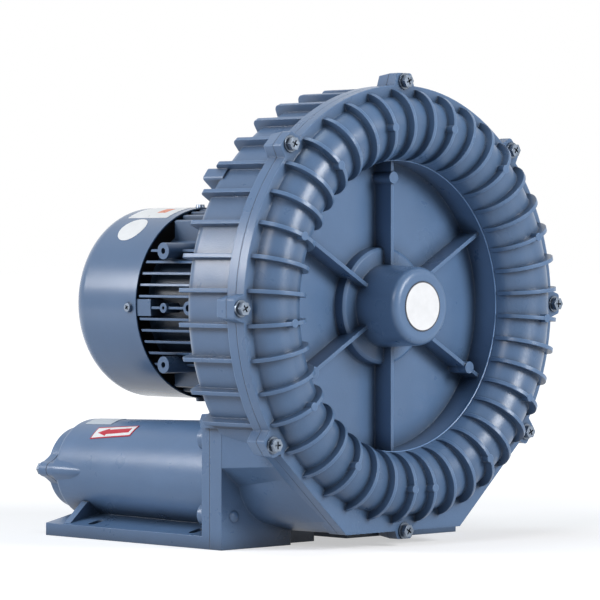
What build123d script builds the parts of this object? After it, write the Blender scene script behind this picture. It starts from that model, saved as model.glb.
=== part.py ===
from build123d import *
import os
from math import asin, cos, degrees, hypot, radians, sin, sqrt

os.makedirs("parts", exist_ok=True)

# Side channel blower with its motor and two silencers.
# Frame: +Z up, origin on the floor at the middle of the foot slots. The shaft lies along Y,
# with the cover at -Y and the motor at +Y. Lengths named _y are measured along the shaft
# from the seam between cover and casing, and heights and drops from the shaft.

# ---- driving dimensions, mm ----
base_gap = 15.0

# side channel and housing shells
channel_r = 178.0
channel_bore = 22.0
shell_wall = 6.0
cover_channel_y = -4.0
casing_channel_y = 57.0
channel_arc = 320.0
chamber_step = 0.8
rim_width = 10.0
cover_rim_t = 10.8
casing_rim_t = 11.5
gasket_t = 0.6
edge_round = 14.0
base_flat_half = 80.0
rim_shoulder_x = 167.5
rim_shoulder_drop = 140.3

# cover
cup_wall = 6.0
dish_y = 27.0
dish_t = 6.0
hub_r = 38.5
hub_draft = 2.5
hub_front_y = -36.0
hub_edge = 8.0
hub_cap_t = 8.0
hub_pad_r = 58.5
hub_pad_t = 12.0
hub_pad_edge = 4.0
badge_r = 24.6
badge_t = 0.8
rib_count = 6
rib_t = 3.8
rib_front_y = 5.0
rib_boss_r = 6.0
rib_boss_at_r = 126.0
rib_boss_front_y = 3.0

# cooling fins of the two shells
fin_count = 40
cover_fin_t = 3.8
cover_fin_h = 8.5
casing_fin_t = 4.0
casing_fin_h = 8.0
casing_fin_tail = 0.5
casing_fin_depth = 22.0
casing_fin_nose = 6.0
casing_fin_half_arc = 121.5
ejector_pad_r = 4.2
ejector_pad_step = 3
ejector_pad_h = 10.0
lug_angle = 141.5
lug_width = 14.0
lug_height = 20.0
lug_tail = 14.0
lug_root_in = 8.0
lug_corner = 3.0

# seam bolts
bolt_circle_out = 4.0
seam_bolt_angles = (90, 45, 0, -36, -90, -144, 180, 135)
seam_bolt_r = 4.0
boss_length = 30.0
boss_root_w = 28.0
boss_width = 18.0
boss_reach = 8.0
boss_slope_in = 1.0
boss_rear_t = 14.7
washer_r = 8.0
washer_t = 1.6
head_r = 6.6
head_h = 5.3
recess_depth = 2.2
recess_t = 1.6
recess_turn = 25.0
recess_turn_step = 31.0
recess_share = 1.1
seam_bolt_short = 3.0
boss_draft = 8.0
thread_gap = 0.1

# running parts
sleeve_wall = 5.0
blade_root_step = 1.0
impeller_gap = 3.0
web_gap = 5.0
impeller_web_t = 5.0
impeller_front_y = 5.0
blade_count = 36
blade_t = 3.0
blade_tip_gap = 3.0
divider_t = 3.0
impeller_hub_r = 29.0
impeller_hub_front_y = 24.0
impeller_hub_t = 32.0
key_w = 8.0
key_h = 7.0
key_length = 24.0
key_depth = 4.0

# bearings, both 30 x 62 x 16
bearing_bore_r = 15.0
bearing_outer_r = 31.0
bearing_width = 16.0
ball_r = 4.7
ball_count = 9
ball_gap = 0.25
race_wall = 4.2
cage_t = 2.6
cage_width = 12.0
cage_gap = 0.2
front_bearing_y = -12.0
rear_bearing_y = 268.0

# shaft
shaft_front_y = -22.0
thread_r = 12.5
impeller_seat_r = 16.0
seal_track_r = 19.0
rotor_seat_r = 21.0
rear_shoulder_r = 18.0
fan_seat_r = 14.0
shaft_rear_y = 336.0
nut_af = 36.0
nut_t = 8.0
lock_washer_t = 1.5
lock_washer_r = 20.0
spacer_r = 21.0
seal_width = 8.0
seal_gap = 0.05
front_seal_y = 8.0
rear_seal_y = 57.0
rear_seal_r = 28.0
seal_land = 4.0

# casing wall and motor mount
casing_web_gap = 9.0
casing_web_t = 10.0
casing_hub_r = 45.0
casing_hub_back = 70.0
mount_ring_in = 70.0
mount_ring_out = 100.0
mount_ring_back = 92.0
casing_rib_count = 8
recess_r = 145.0
mount_bolt_circle = 88.0
mount_bolt_r = 4.0
mount_bolt_count = 4
mount_hole_depth = 18.0
mount_bolt_depth = 15.0

# base block, ducts and feet
block_top_up = 60.0
panel_up = 14.6
duct_x = 94.0
duct_height = 65.0
duct_r = 48.0
duct_bore_r = 26.0
duct_mouth_r = 42.0
duct_mouth_depth = 12.0
foot_y = 74.3
foot_back_y = 90.6
foot_inner_x = 72.0
flange_top_up = 53.0
flange_half = 71.0
ledge_out = 6.0
ledge_t = 8.0
ledge_tail = 7.0
ledge_root = 20.0
duct_bore_start = 5.0
block_draft = 13.0

# silencers
silencer_gasket_t = 0.6
silencer_flange_t = 11.0
tube_front_r = 57.0
tube_rear_r = 51.0
tube_wall = 5.0
tube_back_y = 348.0
tube_edge = 7.0
tube_ridge_w = 26.0
tube_ridge_h = 62.0
tube_ridge_y = 171.0
tube_ridge_root = 8.0
tube_ridge_slope = 6.0
foot_lip = 12.5
foot_crown_h = 21.5
foot_crown_half = 29.0
foot_end_y = 336.0
gusset_y = 303.0
gusset_t = 9.0
gusset_top_h = 34.0
gusset_top_half = 44.0
slot_out = 56.0
slot_length = 18.0
slot_width = 10.0
slot_cut = 12.0
slot_ys = (125.0, 275.0)
silencer_bolt_x = 54.5
silencer_bolt_up = 41.0
silencer_bolt_down = 33.0
silencer_bolt_length = 34.0
corner_boss_r = 12.0
corner_boss_t = 12.0
liner_front_y = 110.0
liner_r = 45.6
core_r = 33.0
core_wall = 1.0
liner_core_gap = 0.2
liner_end_gap = 0.3
core_end_gap = 0.1
core_front_y = 104.0
port_neck_t = 5.0
port_flange_t = 12.0
port_gasket_t = 1.0
port_ear_x = 48.0
port_ear_r = 8.0
ear_draft = 6.0
port_hub_r = 42.0
ear_boss_y = 322.0
port_bore_r = 28.33
port_bolt_r = 4.0

# motor
frame_bore_r = 75.0
frame_wall = 5.0
frame_fin_r = 97.0
frame_fin_t = 2.5
frame_fin_pitch = 11.6
frame_fin_offset = -3.5
level_fin_pairs = 5
upright_fin_pairs = 4
side_angles = (0, 90, 180, 270)
flank_angles = (0, 180)
frame_flange_r = 98.5
frame_flange_t = 10.0
frame_back_y = 265.0
frame_fin_back_y = 270.0
pad_x = 99.0
pad_rise = 57.5
pad_r = 8.5
pad_hole_r = 3.0
pad_ys = (131.0, 231.0)
pad_hole_depth = 12.0
small_pad_r = 5.0
small_pad_hole_r = 1.8
mid_pad_r = 7.0
mid_pad_hole_r = 3.5
mid_pad_y = 194.0
shield_t = 10.0
shield_hub_r = 40.0
shield_back_y = 290.0
shield_hole_r = 16.0
lug_half = 8.5
lug_front_y = 252.0
lug_gap = 1.0
lug_root = 8.0
cowl_r = 99.0
cowl_t = 1.5
cowl_front_y = 273.0
cowl_back_y = 376.0
cowl_edge = 22.0
cowl_screw_y = 283.0
cowl_screw_r = 2.5
cowl_screw_head_r = 5.0
cowl_screw_head_h = 3.2
cowl_screw_draft = 12.0
cowl_recess_depth = 1.6
grille_rings = ((30.0, 16, 14.0), (56.0, 24, 22.0))
grille_slot_w = 5.0
fan_front_y = 300.0
fan_hub_t = 26.0
fan_hub_r = 21.0
fan_disc_r = 87.0
fan_disc_t = 3.0
fan_blade_r = 87.0
fan_blade_t = 3.0
fan_blade_h = 36.0
fan_blades = 8
circlip_t = 1.5
circlip_lip = 4.0
core_y = 125.0
core_length = 100.0
core_seat_over = 12.0
air_gap = 0.6
rotor_r = 52.0
ring_t = 12.0
ring_in_r = 34.0
head_in_r = 55.0
head_out_r = 71.0
head_length = 20.0
shield_bolt_circle = 70.0
shield_bolt_r = 3.0
shield_head_share = 1.7
shield_head_h_share = 1.3
wave_washer_t = 2.0
wave_washer_gap = 0.5
wave_washer_width = 4.0

# terminal box on the hidden side
box_pad_x = 100.0
box_pad_half_y = 46.0
box_pad_half_z = 40.0
box_y = 170.0
box_half = 52.0
box_depth = 46.0
box_wall = 4.0
box_hole_r = 11.0
box_hole_shift = 38.0
cable_way_r = 12.0
lid_t = 6.0
lid_gasket_t = 1.2
lid_corner = 8.0
lid_edge = 3.0
lid_screw_inset = 7.5
lid_screw_r = 2.5
lid_boss_wall = 3.0
lid_head_share = 1.8
lid_head_h = 3.0
lid_screw_length = 18.0
board_half_y = 30.0
board_half_z = 20.0
board_t = 8.0
stud_r = 2.5
stud_length = 14.0
stud_pitch = 18.0
stud_nut_share = 1.8
stud_nut_h = 4.0
gland_bore_r = 6.5
gland_r = 10.0
gland_flange_r = 14.0
gland_body_t = 8.0
gland_dome_t = 16.0
gland_draft = 10.0
gland_nut_t = 5.0

# ---- sizes that follow from them ----
seam = -sum(slot_ys) / len(slot_ys)
half_gasket = gasket_t / 2
tube_shell_r = channel_bore + shell_wall
casing_r = channel_r + tube_shell_r
rim_r = casing_r + rim_width
bolt_circle_r = rim_r + bolt_circle_out
base_flat_drop = bolt_circle_r
axis_height = base_flat_drop + base_gap
duct_drop = axis_height - duct_height
block_top_drop = duct_drop - block_top_up
panel_drop = duct_drop - panel_up
flange_top_drop = duct_drop - flange_top_up
block_half = duct_x + flange_half
slot_half_x = duct_x + slot_out
foot_crown_drop = axis_height - foot_crown_h
gusset_top_drop = axis_height - gusset_top_h
crest_y = cover_channel_y - tube_shell_r
blade_root_r = channel_r - channel_bore + blade_root_step
sleeve_in_r = blade_root_r - sleeve_wall
cup_r = sleeve_in_r - impeller_gap
dish_r = cup_r - cup_wall
lip_r = channel_r - dish_r
blade_tip_r = channel_r + channel_bore - blade_tip_gap
dish_back_y = dish_y + dish_t
impeller_web_y = dish_back_y + web_gap
casing_web_y = impeller_web_y + impeller_web_t + casing_web_gap
casing_web_back = casing_web_y + casing_web_t
impeller_back_y = casing_web_y - impeller_gap
casing_back_y = casing_channel_y + tube_shell_r
boss_r = bolt_circle_r + boss_reach
chamber_r = channel_r + channel_bore + chamber_step
cover_face_y = -half_gasket - cover_rim_t
head_seat_y = cover_face_y - washer_t
ball_circle_r = (bearing_bore_r + bearing_outer_r) / 2
shoulder_y = impeller_hub_front_y + impeller_hub_t
front_bearing_back = front_bearing_y + bearing_width
rear_bearing_back = rear_bearing_y + bearing_width
silencer_y = foot_back_y + silencer_gasket_t
silencer_flange_back = silencer_y + silencer_flange_t
neck_back_y = tube_back_y + port_neck_t
port_y = neck_back_y + port_gasket_t
port_back_y = port_y + port_flange_t
frame_front_y = mount_ring_back
frame_core_r = frame_bore_r + frame_wall
cowl_in_r = cowl_r - cowl_t
lug_r = cowl_in_r
lid_x = box_pad_x + box_depth + lid_gasket_t

shaft_axis = Axis((0, 0, axis_height), (0, 1, 0))


def across(y):
    """Plane across the shaft at y: local x is X, local y is height over the shaft."""
    return Plane(origin=(0, seam + y, axis_height), x_dir=(1, 0, 0), z_dir=(0, -1, 0))


def along(angle=90):
    """Plane through the shaft line: local x is Y, local y is the radius at that angle."""
    a = radians(angle)
    return Plane(origin=(0, seam, axis_height), x_dir=(0, 1, 0), z_dir=(sin(a), 0, -cos(a)))


def to_right(x):
    """Plane facing +X at x: local x is Y, local y is height over the shaft."""
    return Plane(origin=(x, seam, axis_height), x_dir=(0, 1, 0), z_dir=(1, 0, 0))


def level(z):
    """Level plane at height z over the floor: local x is X, local y is Y from the seam."""
    return Plane(origin=(0, seam, z), x_dir=(1, 0, 0), z_dir=(0, 0, 1))


def facing_out(angle, y, shift=0.0):
    """Plane at the shaft line that faces out at an angle; local x is Y."""
    out = (cos(radians(angle)), 0, sin(radians(angle)))
    return Plane(origin=(0, seam + y, axis_height + shift), x_dir=(0, 1, 0), z_dir=out)


def disc(radius, y0, y1, at=(0, 0), mode=Mode.ADD):
    """Round bar along Y from y0 to y1, or a bore of that size."""
    with BuildSketch(across(y0)) as face:
        with Locations(at):
            Circle(radius)
    extrude(face.sketch, amount=y0 - y1, mode=mode)


def discs(radius, y0, y1, places, mode=Mode.ADD):
    """The same round bar at several places."""
    with BuildSketch(across(y0)) as face:
        with Locations(*places):
            Circle(radius)
    extrude(face.sketch, amount=y0 - y1, mode=mode)


def side_pins(radius, x0, x1, places, mode=Mode.ADD):
    """Round bars along X from x0 to x1 at (y, height over the shaft) places, or bores."""
    with BuildSketch(to_right(x0)) as pins:
        with Locations(*places):
            Circle(radius)
    extrude(pins.sketch, amount=x1 - x0, mode=mode)


def ring(outer_r, inner_r, y0, y1, at=(0, 0)):
    """Plain ring about an axis along Y."""
    with BuildSketch(across(y0)) as face:
        with Locations(at):
            Circle(outer_r)
            Circle(inner_r, mode=Mode.SUBTRACT)
    extrude(face.sketch, amount=y0 - y1)


def spun(points, arc=360, start=90, mode=Mode.ADD):
    """Solid of revolution about the shaft from (y, radius) corners."""
    with BuildSketch(along(start)) as profile:
        Polygon(*points, align=None)
    revolve(profile.sketch, axis=shaft_axis, revolution_arc=arc, mode=mode)


def cut_side_channel(middle_y, open_y):
    """Half-round side channel, broken at the bottom by the stripper between the ports."""
    inner = channel_r - channel_bore
    outer = channel_r + channel_bore
    bulge = channel_bore if middle_y > open_y else -channel_bore
    with BuildSketch(along(270 - (360 - channel_arc) / 2)) as section:
        with BuildLine():
            floor = Line((open_y, inner), (middle_y, inner))
            bend = ThreePointArc(floor @ 1, (middle_y + bulge, channel_r), (middle_y, outer))
            Polyline(bend @ 1, (open_y, outer), floor @ 0)
        make_face()
    revolve(section.sketch, axis=shaft_axis, revolution_arc=channel_arc, mode=Mode.SUBTRACT)


def polar(radius, angle):
    return (radius * cos(radians(angle)), radius * sin(radians(angle)))


def finish(builder, name):
    """Names the piece and writes it."""
    builder.part.label = name
    export_step(builder.part, f"parts/{name}.step")


# ---- places shared by several pieces ----
seam_bolts = [polar(bolt_circle_r, a) for a in seam_bolt_angles]
mount_bolts = [polar(mount_bolt_circle, 45 + i * 360 / mount_bolt_count) for i in range(mount_bolt_count)]
shield_bolts = [polar(shield_bolt_circle, 45 + i * 90) for i in range(4)]
cover_fin_start = 180 / fin_count


def duct_centre(side):
    return (side * duct_x, -duct_drop)


def silencer_bolt_places(side):
    xs = (side * (duct_x - silencer_bolt_x), side * (duct_x + silencer_bolt_x))
    return [(x, z - duct_drop) for x in xs for z in (silencer_bolt_up, -silencer_bolt_down)]


def port_bolt_places(side):
    return [(side * duct_x + s * port_ear_x, -duct_drop) for s in (-1, 1)]


def rim_outline(radius):
    """Round seam rim that runs out into the flat bottom of the base."""
    Circle(radius)
    top = rim_shoulder_drop - rim_width
    Polygon(
        (-rim_shoulder_x, -top),
        (-rim_shoulder_x, -rim_shoulder_drop),
        (-base_flat_half, -base_flat_drop),
        (base_flat_half, -base_flat_drop),
        (rim_shoulder_x, -rim_shoulder_drop),
        (rim_shoulder_x, -top),
        align=None,
    )


def seam_bosses():
    """Bolt bosses on the rim, narrower at the outer face than at the root."""
    root = boss_root_w / 2
    tip = boss_width / 2
    for angle in seam_bolt_angles:
        with Locations(Location((0, 0), angle)):
            Polygon(
                (boss_r - boss_length, -root),
                (rim_r - boss_slope_in, -root),
                (boss_r - 1, -tip - 1),
                (boss_r, -tip + 1),
                (boss_r, tip - 1),
                (boss_r - 1, tip + 1),
                (rim_r - boss_slope_in, root),
                (boss_r - boss_length, root),
                align=None,
            )


# ---- front cover ----
def make_front_cover():
    with BuildPart() as front_cover:
        # bowl: hub, dished disc, inner wall and half torus
        with BuildSketch(along()) as bowl:
            with BuildLine():
                hub_face = Line((hub_front_y, 0), (hub_front_y, hub_r - hub_edge))
                hub_corner = RadiusArc(hub_face @ 1, (hub_front_y + hub_edge, hub_r), hub_edge)
                flat = Polyline(
                    hub_corner @ 1,
                    (dish_y - hub_pad_t, hub_r + hub_draft),
                    (dish_y - hub_pad_t, hub_pad_r - hub_pad_edge),
                    (dish_y - hub_pad_t + hub_pad_edge / 2, hub_pad_r - hub_pad_edge / 4),
                    (dish_y, hub_pad_r),
                    (dish_y, dish_r),
                    (crest_y + lip_r, dish_r),
                )
                inner = RadiusArc(flat @ 1, (crest_y, channel_r), lip_r)
                outer = RadiusArc(inner @ 1, (cover_channel_y, casing_r), tube_shell_r)
                Polyline(
                    outer @ 1,
                    (-half_gasket, casing_r),
                    (-half_gasket, cup_r),
                    (dish_back_y, cup_r),
                    (dish_back_y, 0),
                    hub_face @ 0,
                )
            make_face()
        revolve(bowl.sketch, axis=shaft_axis)
        # seam rim and bolt bosses
        with BuildSketch(across(-half_gasket)) as rim:
            rim_outline(rim_r)
            seam_bosses()
            Circle(cup_r, mode=Mode.SUBTRACT)
        extrude(rim.sketch, amount=cover_rim_t)
        add_cover_fins()
        add_cover_ribs()
        # side channel, bearing seat and bolt holes
        cut_side_channel(cover_channel_y, 1)
        disc(bearing_outer_r, hub_front_y + hub_cap_t, dish_back_y, mode=Mode.SUBTRACT)
        disc(badge_r, hub_front_y, hub_front_y + badge_t / 2, mode=Mode.SUBTRACT)
        discs(seam_bolt_r + thread_gap, cover_face_y, 0, seam_bolts, mode=Mode.SUBTRACT)
    finish(front_cover, "front_cover")


def add_cover_fins():
    """Radial fins over the half torus, with round ejector pads on every third one."""
    with BuildPart(mode=Mode.PRIVATE) as fins:
        fin_y = crest_y - cover_fin_h
        with BuildSketch(across(fin_y)) as plates:
            with PolarLocations(channel_r, fin_count, start_angle=cover_fin_start):
                Rectangle(2 * lip_r + rim_width, cover_fin_t)
        extrude(plates.sketch, amount=fin_y - cover_channel_y)
        with BuildSketch(along()) as envelope:
            with Locations((fin_y + lip_r, channel_r)):
                Circle(lip_r)
            with Locations((cover_channel_y, channel_r)):
                Circle(tube_shell_r - 1, mode=Mode.SUBTRACT)
        revolve(envelope.sketch, axis=shaft_axis, mode=Mode.INTERSECT)
        pads = fin_count // ejector_pad_step + 1
        step = ejector_pad_step * 360 / fin_count
        first = -90 + cover_fin_start
        centres = [polar(channel_r, first + i * step) for i in range(pads)]
        discs(ejector_pad_r, fin_y, fin_y + ejector_pad_h, centres)
    add(fins.part)


def add_cover_ribs():
    """Stiffening ribs from the hub to the inner wall, some with round bosses."""
    with BuildSketch(across(rib_front_y)) as ribs:
        length = dish_r - hub_r + 2
        with PolarLocations(hub_r - 1 + length / 2, rib_count, start_angle=90):
            Rectangle(length, rib_t)
    extrude(ribs.sketch, amount=rib_front_y - dish_y)
    bosses = [polar(rib_boss_at_r, a) for a in (90, -30, -150)]
    discs(rib_boss_r, rib_boss_front_y, dish_y, bosses)


def make_hub_badge():
    with BuildPart() as hub_badge:
        disc(badge_r - thread_gap, hub_front_y - badge_t / 2, hub_front_y + badge_t / 2)
    finish(hub_badge, "hub_badge")


# ---- rear casing ----
def make_rear_casing():
    with BuildPart() as rear_casing:
        # drum with a rounded rear edge, and the ring that carries the motor
        with BuildSketch(along()) as drum:
            with BuildLine():
                side = Line((half_gasket, 0), (half_gasket, casing_r))
                top = Line(side @ 1, (casing_back_y - edge_round, casing_r))
                corner = RadiusArc(top @ 1, (casing_back_y, casing_r - edge_round), edge_round)
                Polyline(
                    corner @ 1,
                    (casing_back_y, recess_r),
                    (casing_web_back, recess_r),
                    (casing_web_back, mount_ring_out),
                    (mount_ring_back, mount_ring_out),
                    (mount_ring_back, mount_ring_in),
                    (casing_web_back, mount_ring_in),
                    (casing_web_back, casing_hub_r),
                    (casing_hub_back, casing_hub_r),
                    (casing_hub_back, 0),
                    side @ 0,
                )
            make_face()
        revolve(drum.sketch, axis=shaft_axis)
        with BuildSketch(across(half_gasket)) as rim:
            rim_outline(rim_r)
        extrude(rim.sketch, amount=-casing_rim_t)
        with BuildSketch(across(half_gasket)) as bosses:
            seam_bosses()
        extrude(bosses.sketch, amount=-boss_rear_t, taper=boss_draft)
        add_casing_fins()
        add_casing_ribs()
        add_base_block()
        for side in (-1, 1):
            add_casing_foot(side)
        cut_casing_inside()
    finish(rear_casing, "rear_casing")


def add_casing_fins():
    """Fins along the drum that run on past its rear edge."""
    back = casing_back_y + casing_fin_tail
    reach = casing_r + casing_fin_h
    root = casing_r - casing_fin_depth
    with BuildPart(mode=Mode.PRIVATE) as fins:
        steps = int(round(2 * casing_fin_half_arc * fin_count / 360))
        first = 90 - casing_fin_half_arc
        with BuildSketch(across(casing_rim_t / 2)) as plates:
            for i in range(steps + 1):
                angle = first + i * 360 / fin_count
                with Locations(Location(polar((reach + root) / 2, angle), angle)):
                    Rectangle(reach - root + 2, casing_fin_t)
        extrude(plates.sketch, amount=casing_rim_t / 2 - back)
        with BuildSketch(along()) as envelope:
            with BuildLine():
                start = Line((0, root), (0, reach))
                long_edge = Line(start @ 1, (back - casing_fin_nose, reach))
                nose = RadiusArc(long_edge @ 1, (back, reach - casing_fin_nose), casing_fin_nose)
                tail = Line(nose @ 1, (back, casing_r - lug_root_in))
                Polyline(tail @ 1, (casing_back_y - 2, root), start @ 0)
            make_face()
        revolve(envelope.sketch, axis=shaft_axis, mode=Mode.INTERSECT)
    add(fins.part)
    # lifting lug between two fins
    with BuildSketch(across(casing_back_y - edge_round)) as lug:
        with Locations(Location(polar(casing_r - lug_height / 2 + 2, lug_angle), lug_angle)):
            RectangleRounded(lug_height, lug_width, lug_corner)
    extrude(lug.sketch, amount=-edge_round - lug_tail)


def add_casing_ribs():
    """Ribs on the rear wall, from the motor ring out to the channel."""
    with BuildSketch(across(casing_web_back)) as ribs:
        length = recess_r - mount_ring_out + 2
        with PolarLocations((recess_r + mount_ring_out) / 2, casing_rib_count, start_angle=0):
            Rectangle(length, rib_t)
    extrude(ribs.sketch, amount=casing_web_back - casing_back_y + 3)


def block_half_face(y, shoulder, panel_x, panel_z, neck, belly, heel, flat):
    """Closed section of the base block at y; both sides mirror about the shaft."""
    with BuildSketch(across(y)) as face:
        with BuildLine():
            edge = Polyline((0, -shoulder), (-panel_x, -shoulder), (-panel_x, -panel_z), neck)
            swell = ThreePointArc(edge @ 1, belly, heel)
            Polyline(swell @ 1, (-base_flat_half + 3, -flat), (0, -flat), (0, -shoulder))
        make_face()
    return face.sketch


def duct_point(radius, angle):
    x, z = polar(radius, angle)
    return (x - duct_x, z - duct_drop)


def add_base_block():
    """Block under the drum whose flanks draw in to the two duct necks."""
    front = block_half_face(
        half_gasket + 2,
        block_top_drop,
        block_half - block_draft,
        panel_drop - 4,
        duct_point(duct_r - 4, 171),
        duct_point(duct_r - 21, 211),
        duct_point(duct_r - 11, 270),
        base_flat_drop - 1,
    )
    rear = block_half_face(
        foot_y + 1,
        block_top_drop,
        block_half,
        panel_drop,
        duct_point(duct_r, 185),
        duct_point(duct_r - 3, 223),
        duct_point(duct_r - 4, 264),
        base_flat_drop,
    )
    with BuildPart(mode=Mode.PRIVATE) as half:
        loft([front, rear], ruled=True)
        mirror(about=Plane.YZ)
    add(half.part)


def add_casing_foot(side):
    """Rear flange that the silencer bolts to; its outer part stands on the floor."""
    with BuildSketch(across(foot_y)) as foot:
        foot_outline(side)
    extrude(foot.sketch, amount=foot_y - foot_back_y)
    # shoulder ledge along the top of the flank
    out = side * (block_half + ledge_out)
    with BuildSketch(across(half_gasket + 2)) as ledge:
        Polygon(
            (side * (block_half - ledge_root), -flange_top_drop),
            (out, -flange_top_drop),
            (out, -flange_top_drop + ledge_t),
            (side * (block_half - ledge_root), -flange_top_drop + ledge_t + 10),
            align=None,
        )
    extrude(ledge.sketch, amount=half_gasket + 2 - foot_back_y - ledge_tail)


def foot_outline(side):
    inner = side * (duct_x - flange_half)
    step = side * foot_inner_x
    outer = side * block_half
    Polygon(
        (inner, -flange_top_drop),
        (outer, -flange_top_drop),
        (outer, -axis_height),
        (step, -axis_height),
        (step, -base_flat_drop),
        (inner, -base_flat_drop),
        align=None,
    )


def cut_casing_inside():
    """Impeller chamber, side channel, shaft bores, ducts and tapped holes."""
    disc(chamber_r, half_gasket, casing_web_y, mode=Mode.SUBTRACT)
    cut_side_channel(casing_channel_y, casing_web_y - 1)
    disc(rear_seal_r, casing_web_y, rear_seal_y + seal_width, mode=Mode.SUBTRACT)
    disc(impeller_hub_r + 2, casing_web_y, shoulder_y + 0.5, mode=Mode.SUBTRACT)
    disc(rear_seal_r - seal_land, casing_web_y, casing_hub_back, mode=Mode.SUBTRACT)
    discs(seam_bolt_r + thread_gap, 0, boss_rear_t - 2, seam_bolts, mode=Mode.SUBTRACT)
    discs(
        mount_bolt_r + thread_gap,
        mount_ring_back - mount_hole_depth,
        mount_ring_back,
        mount_bolts,
        mode=Mode.SUBTRACT,
    )
    for side in (-1, 1):
        centre = duct_centre(side)
        disc(duct_bore_r, casing_channel_y + duct_bore_start, foot_back_y, centre, mode=Mode.SUBTRACT)
        disc(duct_mouth_r, foot_back_y - duct_mouth_depth, foot_back_y, centre, mode=Mode.SUBTRACT)
        discs(
            seam_bolt_r + thread_gap,
            foot_y - 1,
            foot_back_y,
            silencer_bolt_places(side),
            mode=Mode.SUBTRACT,
        )


def make_casing_gasket():
    with BuildPart() as casing_gasket:
        with BuildSketch(across(half_gasket)) as sheet:
            rim_outline(rim_r)
            seam_bosses()
            Circle(chamber_r, mode=Mode.SUBTRACT)
            with Locations(*seam_bolts):
                Circle(seam_bolt_r + thread_gap, mode=Mode.SUBTRACT)
        extrude(sheet.sketch, amount=gasket_t)
    finish(casing_gasket, "casing_gasket")


def make_casing_bolts():
    with BuildPart() as casing_bolts:
        crown = head_seat_y - head_h
        with BuildSketch(across(crown)) as heads:
            with Locations(*seam_bolts):
                RegularPolygon(head_r, 6)
        extrude(heads.sketch, amount=crown - head_seat_y)
        with BuildSketch(across(crown)) as recess:
            for i, place in enumerate(seam_bolts):
                with Locations(Location(place, recess_turn + recess_turn_step * i)):
                    Rectangle(head_r * recess_share, recess_t)
                    Rectangle(recess_t, head_r * recess_share)
        extrude(recess.sketch, amount=-recess_depth, mode=Mode.SUBTRACT)
        discs(seam_bolt_r, head_seat_y, boss_rear_t - seam_bolt_short, seam_bolts)
    finish(casing_bolts, "casing_bolts")


def make_casing_bolt_washers():
    with BuildPart() as casing_bolt_washers:
        discs(washer_r, head_seat_y, cover_face_y, seam_bolts)
        discs(seam_bolt_r + thread_gap, head_seat_y, cover_face_y, seam_bolts, mode=Mode.SUBTRACT)
    finish(casing_bolt_washers, "casing_bolt_washers")


# ---- silencers ----
def make_silencer_body(side, name):
    """Cast silencer: flange, drafted tube, foot plate with gussets, rear neck."""
    cx, cz = duct_centre(side)
    with BuildPart() as silencer_body:
        with BuildSketch(across(silencer_y)) as flange:
            foot_outline(side)
        extrude(flange.sketch, amount=-silencer_flange_t)
        discs(
            corner_boss_r,
            silencer_flange_back,
            silencer_flange_back + corner_boss_t,
            silencer_bolt_places(side),
        )
        # drafted tube with a rounded rear edge
        tube_axis = Axis((cx, 0, axis_height + cz), (0, 1, 0))
        tube_plane = Plane(origin=(cx, seam, axis_height + cz), x_dir=(0, 1, 0), z_dir=(1, 0, 0))
        with BuildSketch(tube_plane) as tube:
            with BuildLine():
                front = Line((silencer_y, 0), (silencer_y, tube_front_r))
                crown = Line(front @ 1, (tube_back_y - tube_edge, tube_rear_r))
                corner = RadiusArc(crown @ 1, (tube_back_y, tube_rear_r - tube_edge), tube_edge)
                Polyline(corner @ 1, (tube_back_y, 0), front @ 0)
            make_face()
        revolve(tube.sketch, axis=tube_axis)
        with BuildSketch(across(tube_back_y - 2)) as neck:
            port_outline(side)
        extrude(neck.sketch, amount=-port_neck_t - 2)
        # ear bosses that run out along the tube
        with BuildSketch(across(tube_back_y)) as ears:
            with Locations(*port_bolt_places(side)):
                Circle(port_ear_r - 0.2)
        extrude(ears.sketch, amount=tube_back_y - ear_boss_y, taper=ear_draft)
        add_silencer_foot(side)
        # ridge over the flange end of the tube
        with BuildSketch(tube_plane) as ridge:
            Polygon(
                (silencer_y + 1, tube_front_r - tube_ridge_root),
                (silencer_y + 1, tube_ridge_h),
                (tube_ridge_y - tube_ridge_slope, tube_ridge_h),
                (tube_ridge_y, tube_front_r - tube_ridge_root),
                align=None,
            )
        extrude(ridge.sketch, amount=tube_ridge_w / 2, both=True)
        # hollow for the lining, port bore and holes
        with BuildSketch(tube_plane) as hollow:
            Polygon(
                (silencer_y, 0),
                (silencer_y, tube_front_r - tube_wall),
                (tube_back_y - tube_wall, tube_rear_r - tube_wall),
                (tube_back_y - tube_wall, 0),
                align=None,
            )
        revolve(hollow.sketch, axis=tube_axis, mode=Mode.SUBTRACT)
        disc(port_bore_r, tube_back_y - tube_wall, neck_back_y, (cx, cz), mode=Mode.SUBTRACT)
        discs(
            seam_bolt_r + thread_gap,
            silencer_y,
            silencer_flange_back + corner_boss_t,
            silencer_bolt_places(side),
            mode=Mode.SUBTRACT,
        )
        discs(
            port_bolt_r + thread_gap,
            tube_back_y - 2,
            neck_back_y,
            port_bolt_places(side),
            mode=Mode.SUBTRACT,
        )
    finish(silencer_body, name)


def port_outline(side):
    """Two-eared flange outline: a round middle with a small ear on either side."""
    cx, cz = duct_centre(side)
    with Locations((cx, cz)):
        Circle(port_hub_r)
        Rectangle(2 * port_ear_x, port_ear_r * 1.6)
    with Locations((cx - port_ear_x, cz), (cx + port_ear_x, cz)):
        Circle(port_ear_r)


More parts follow.
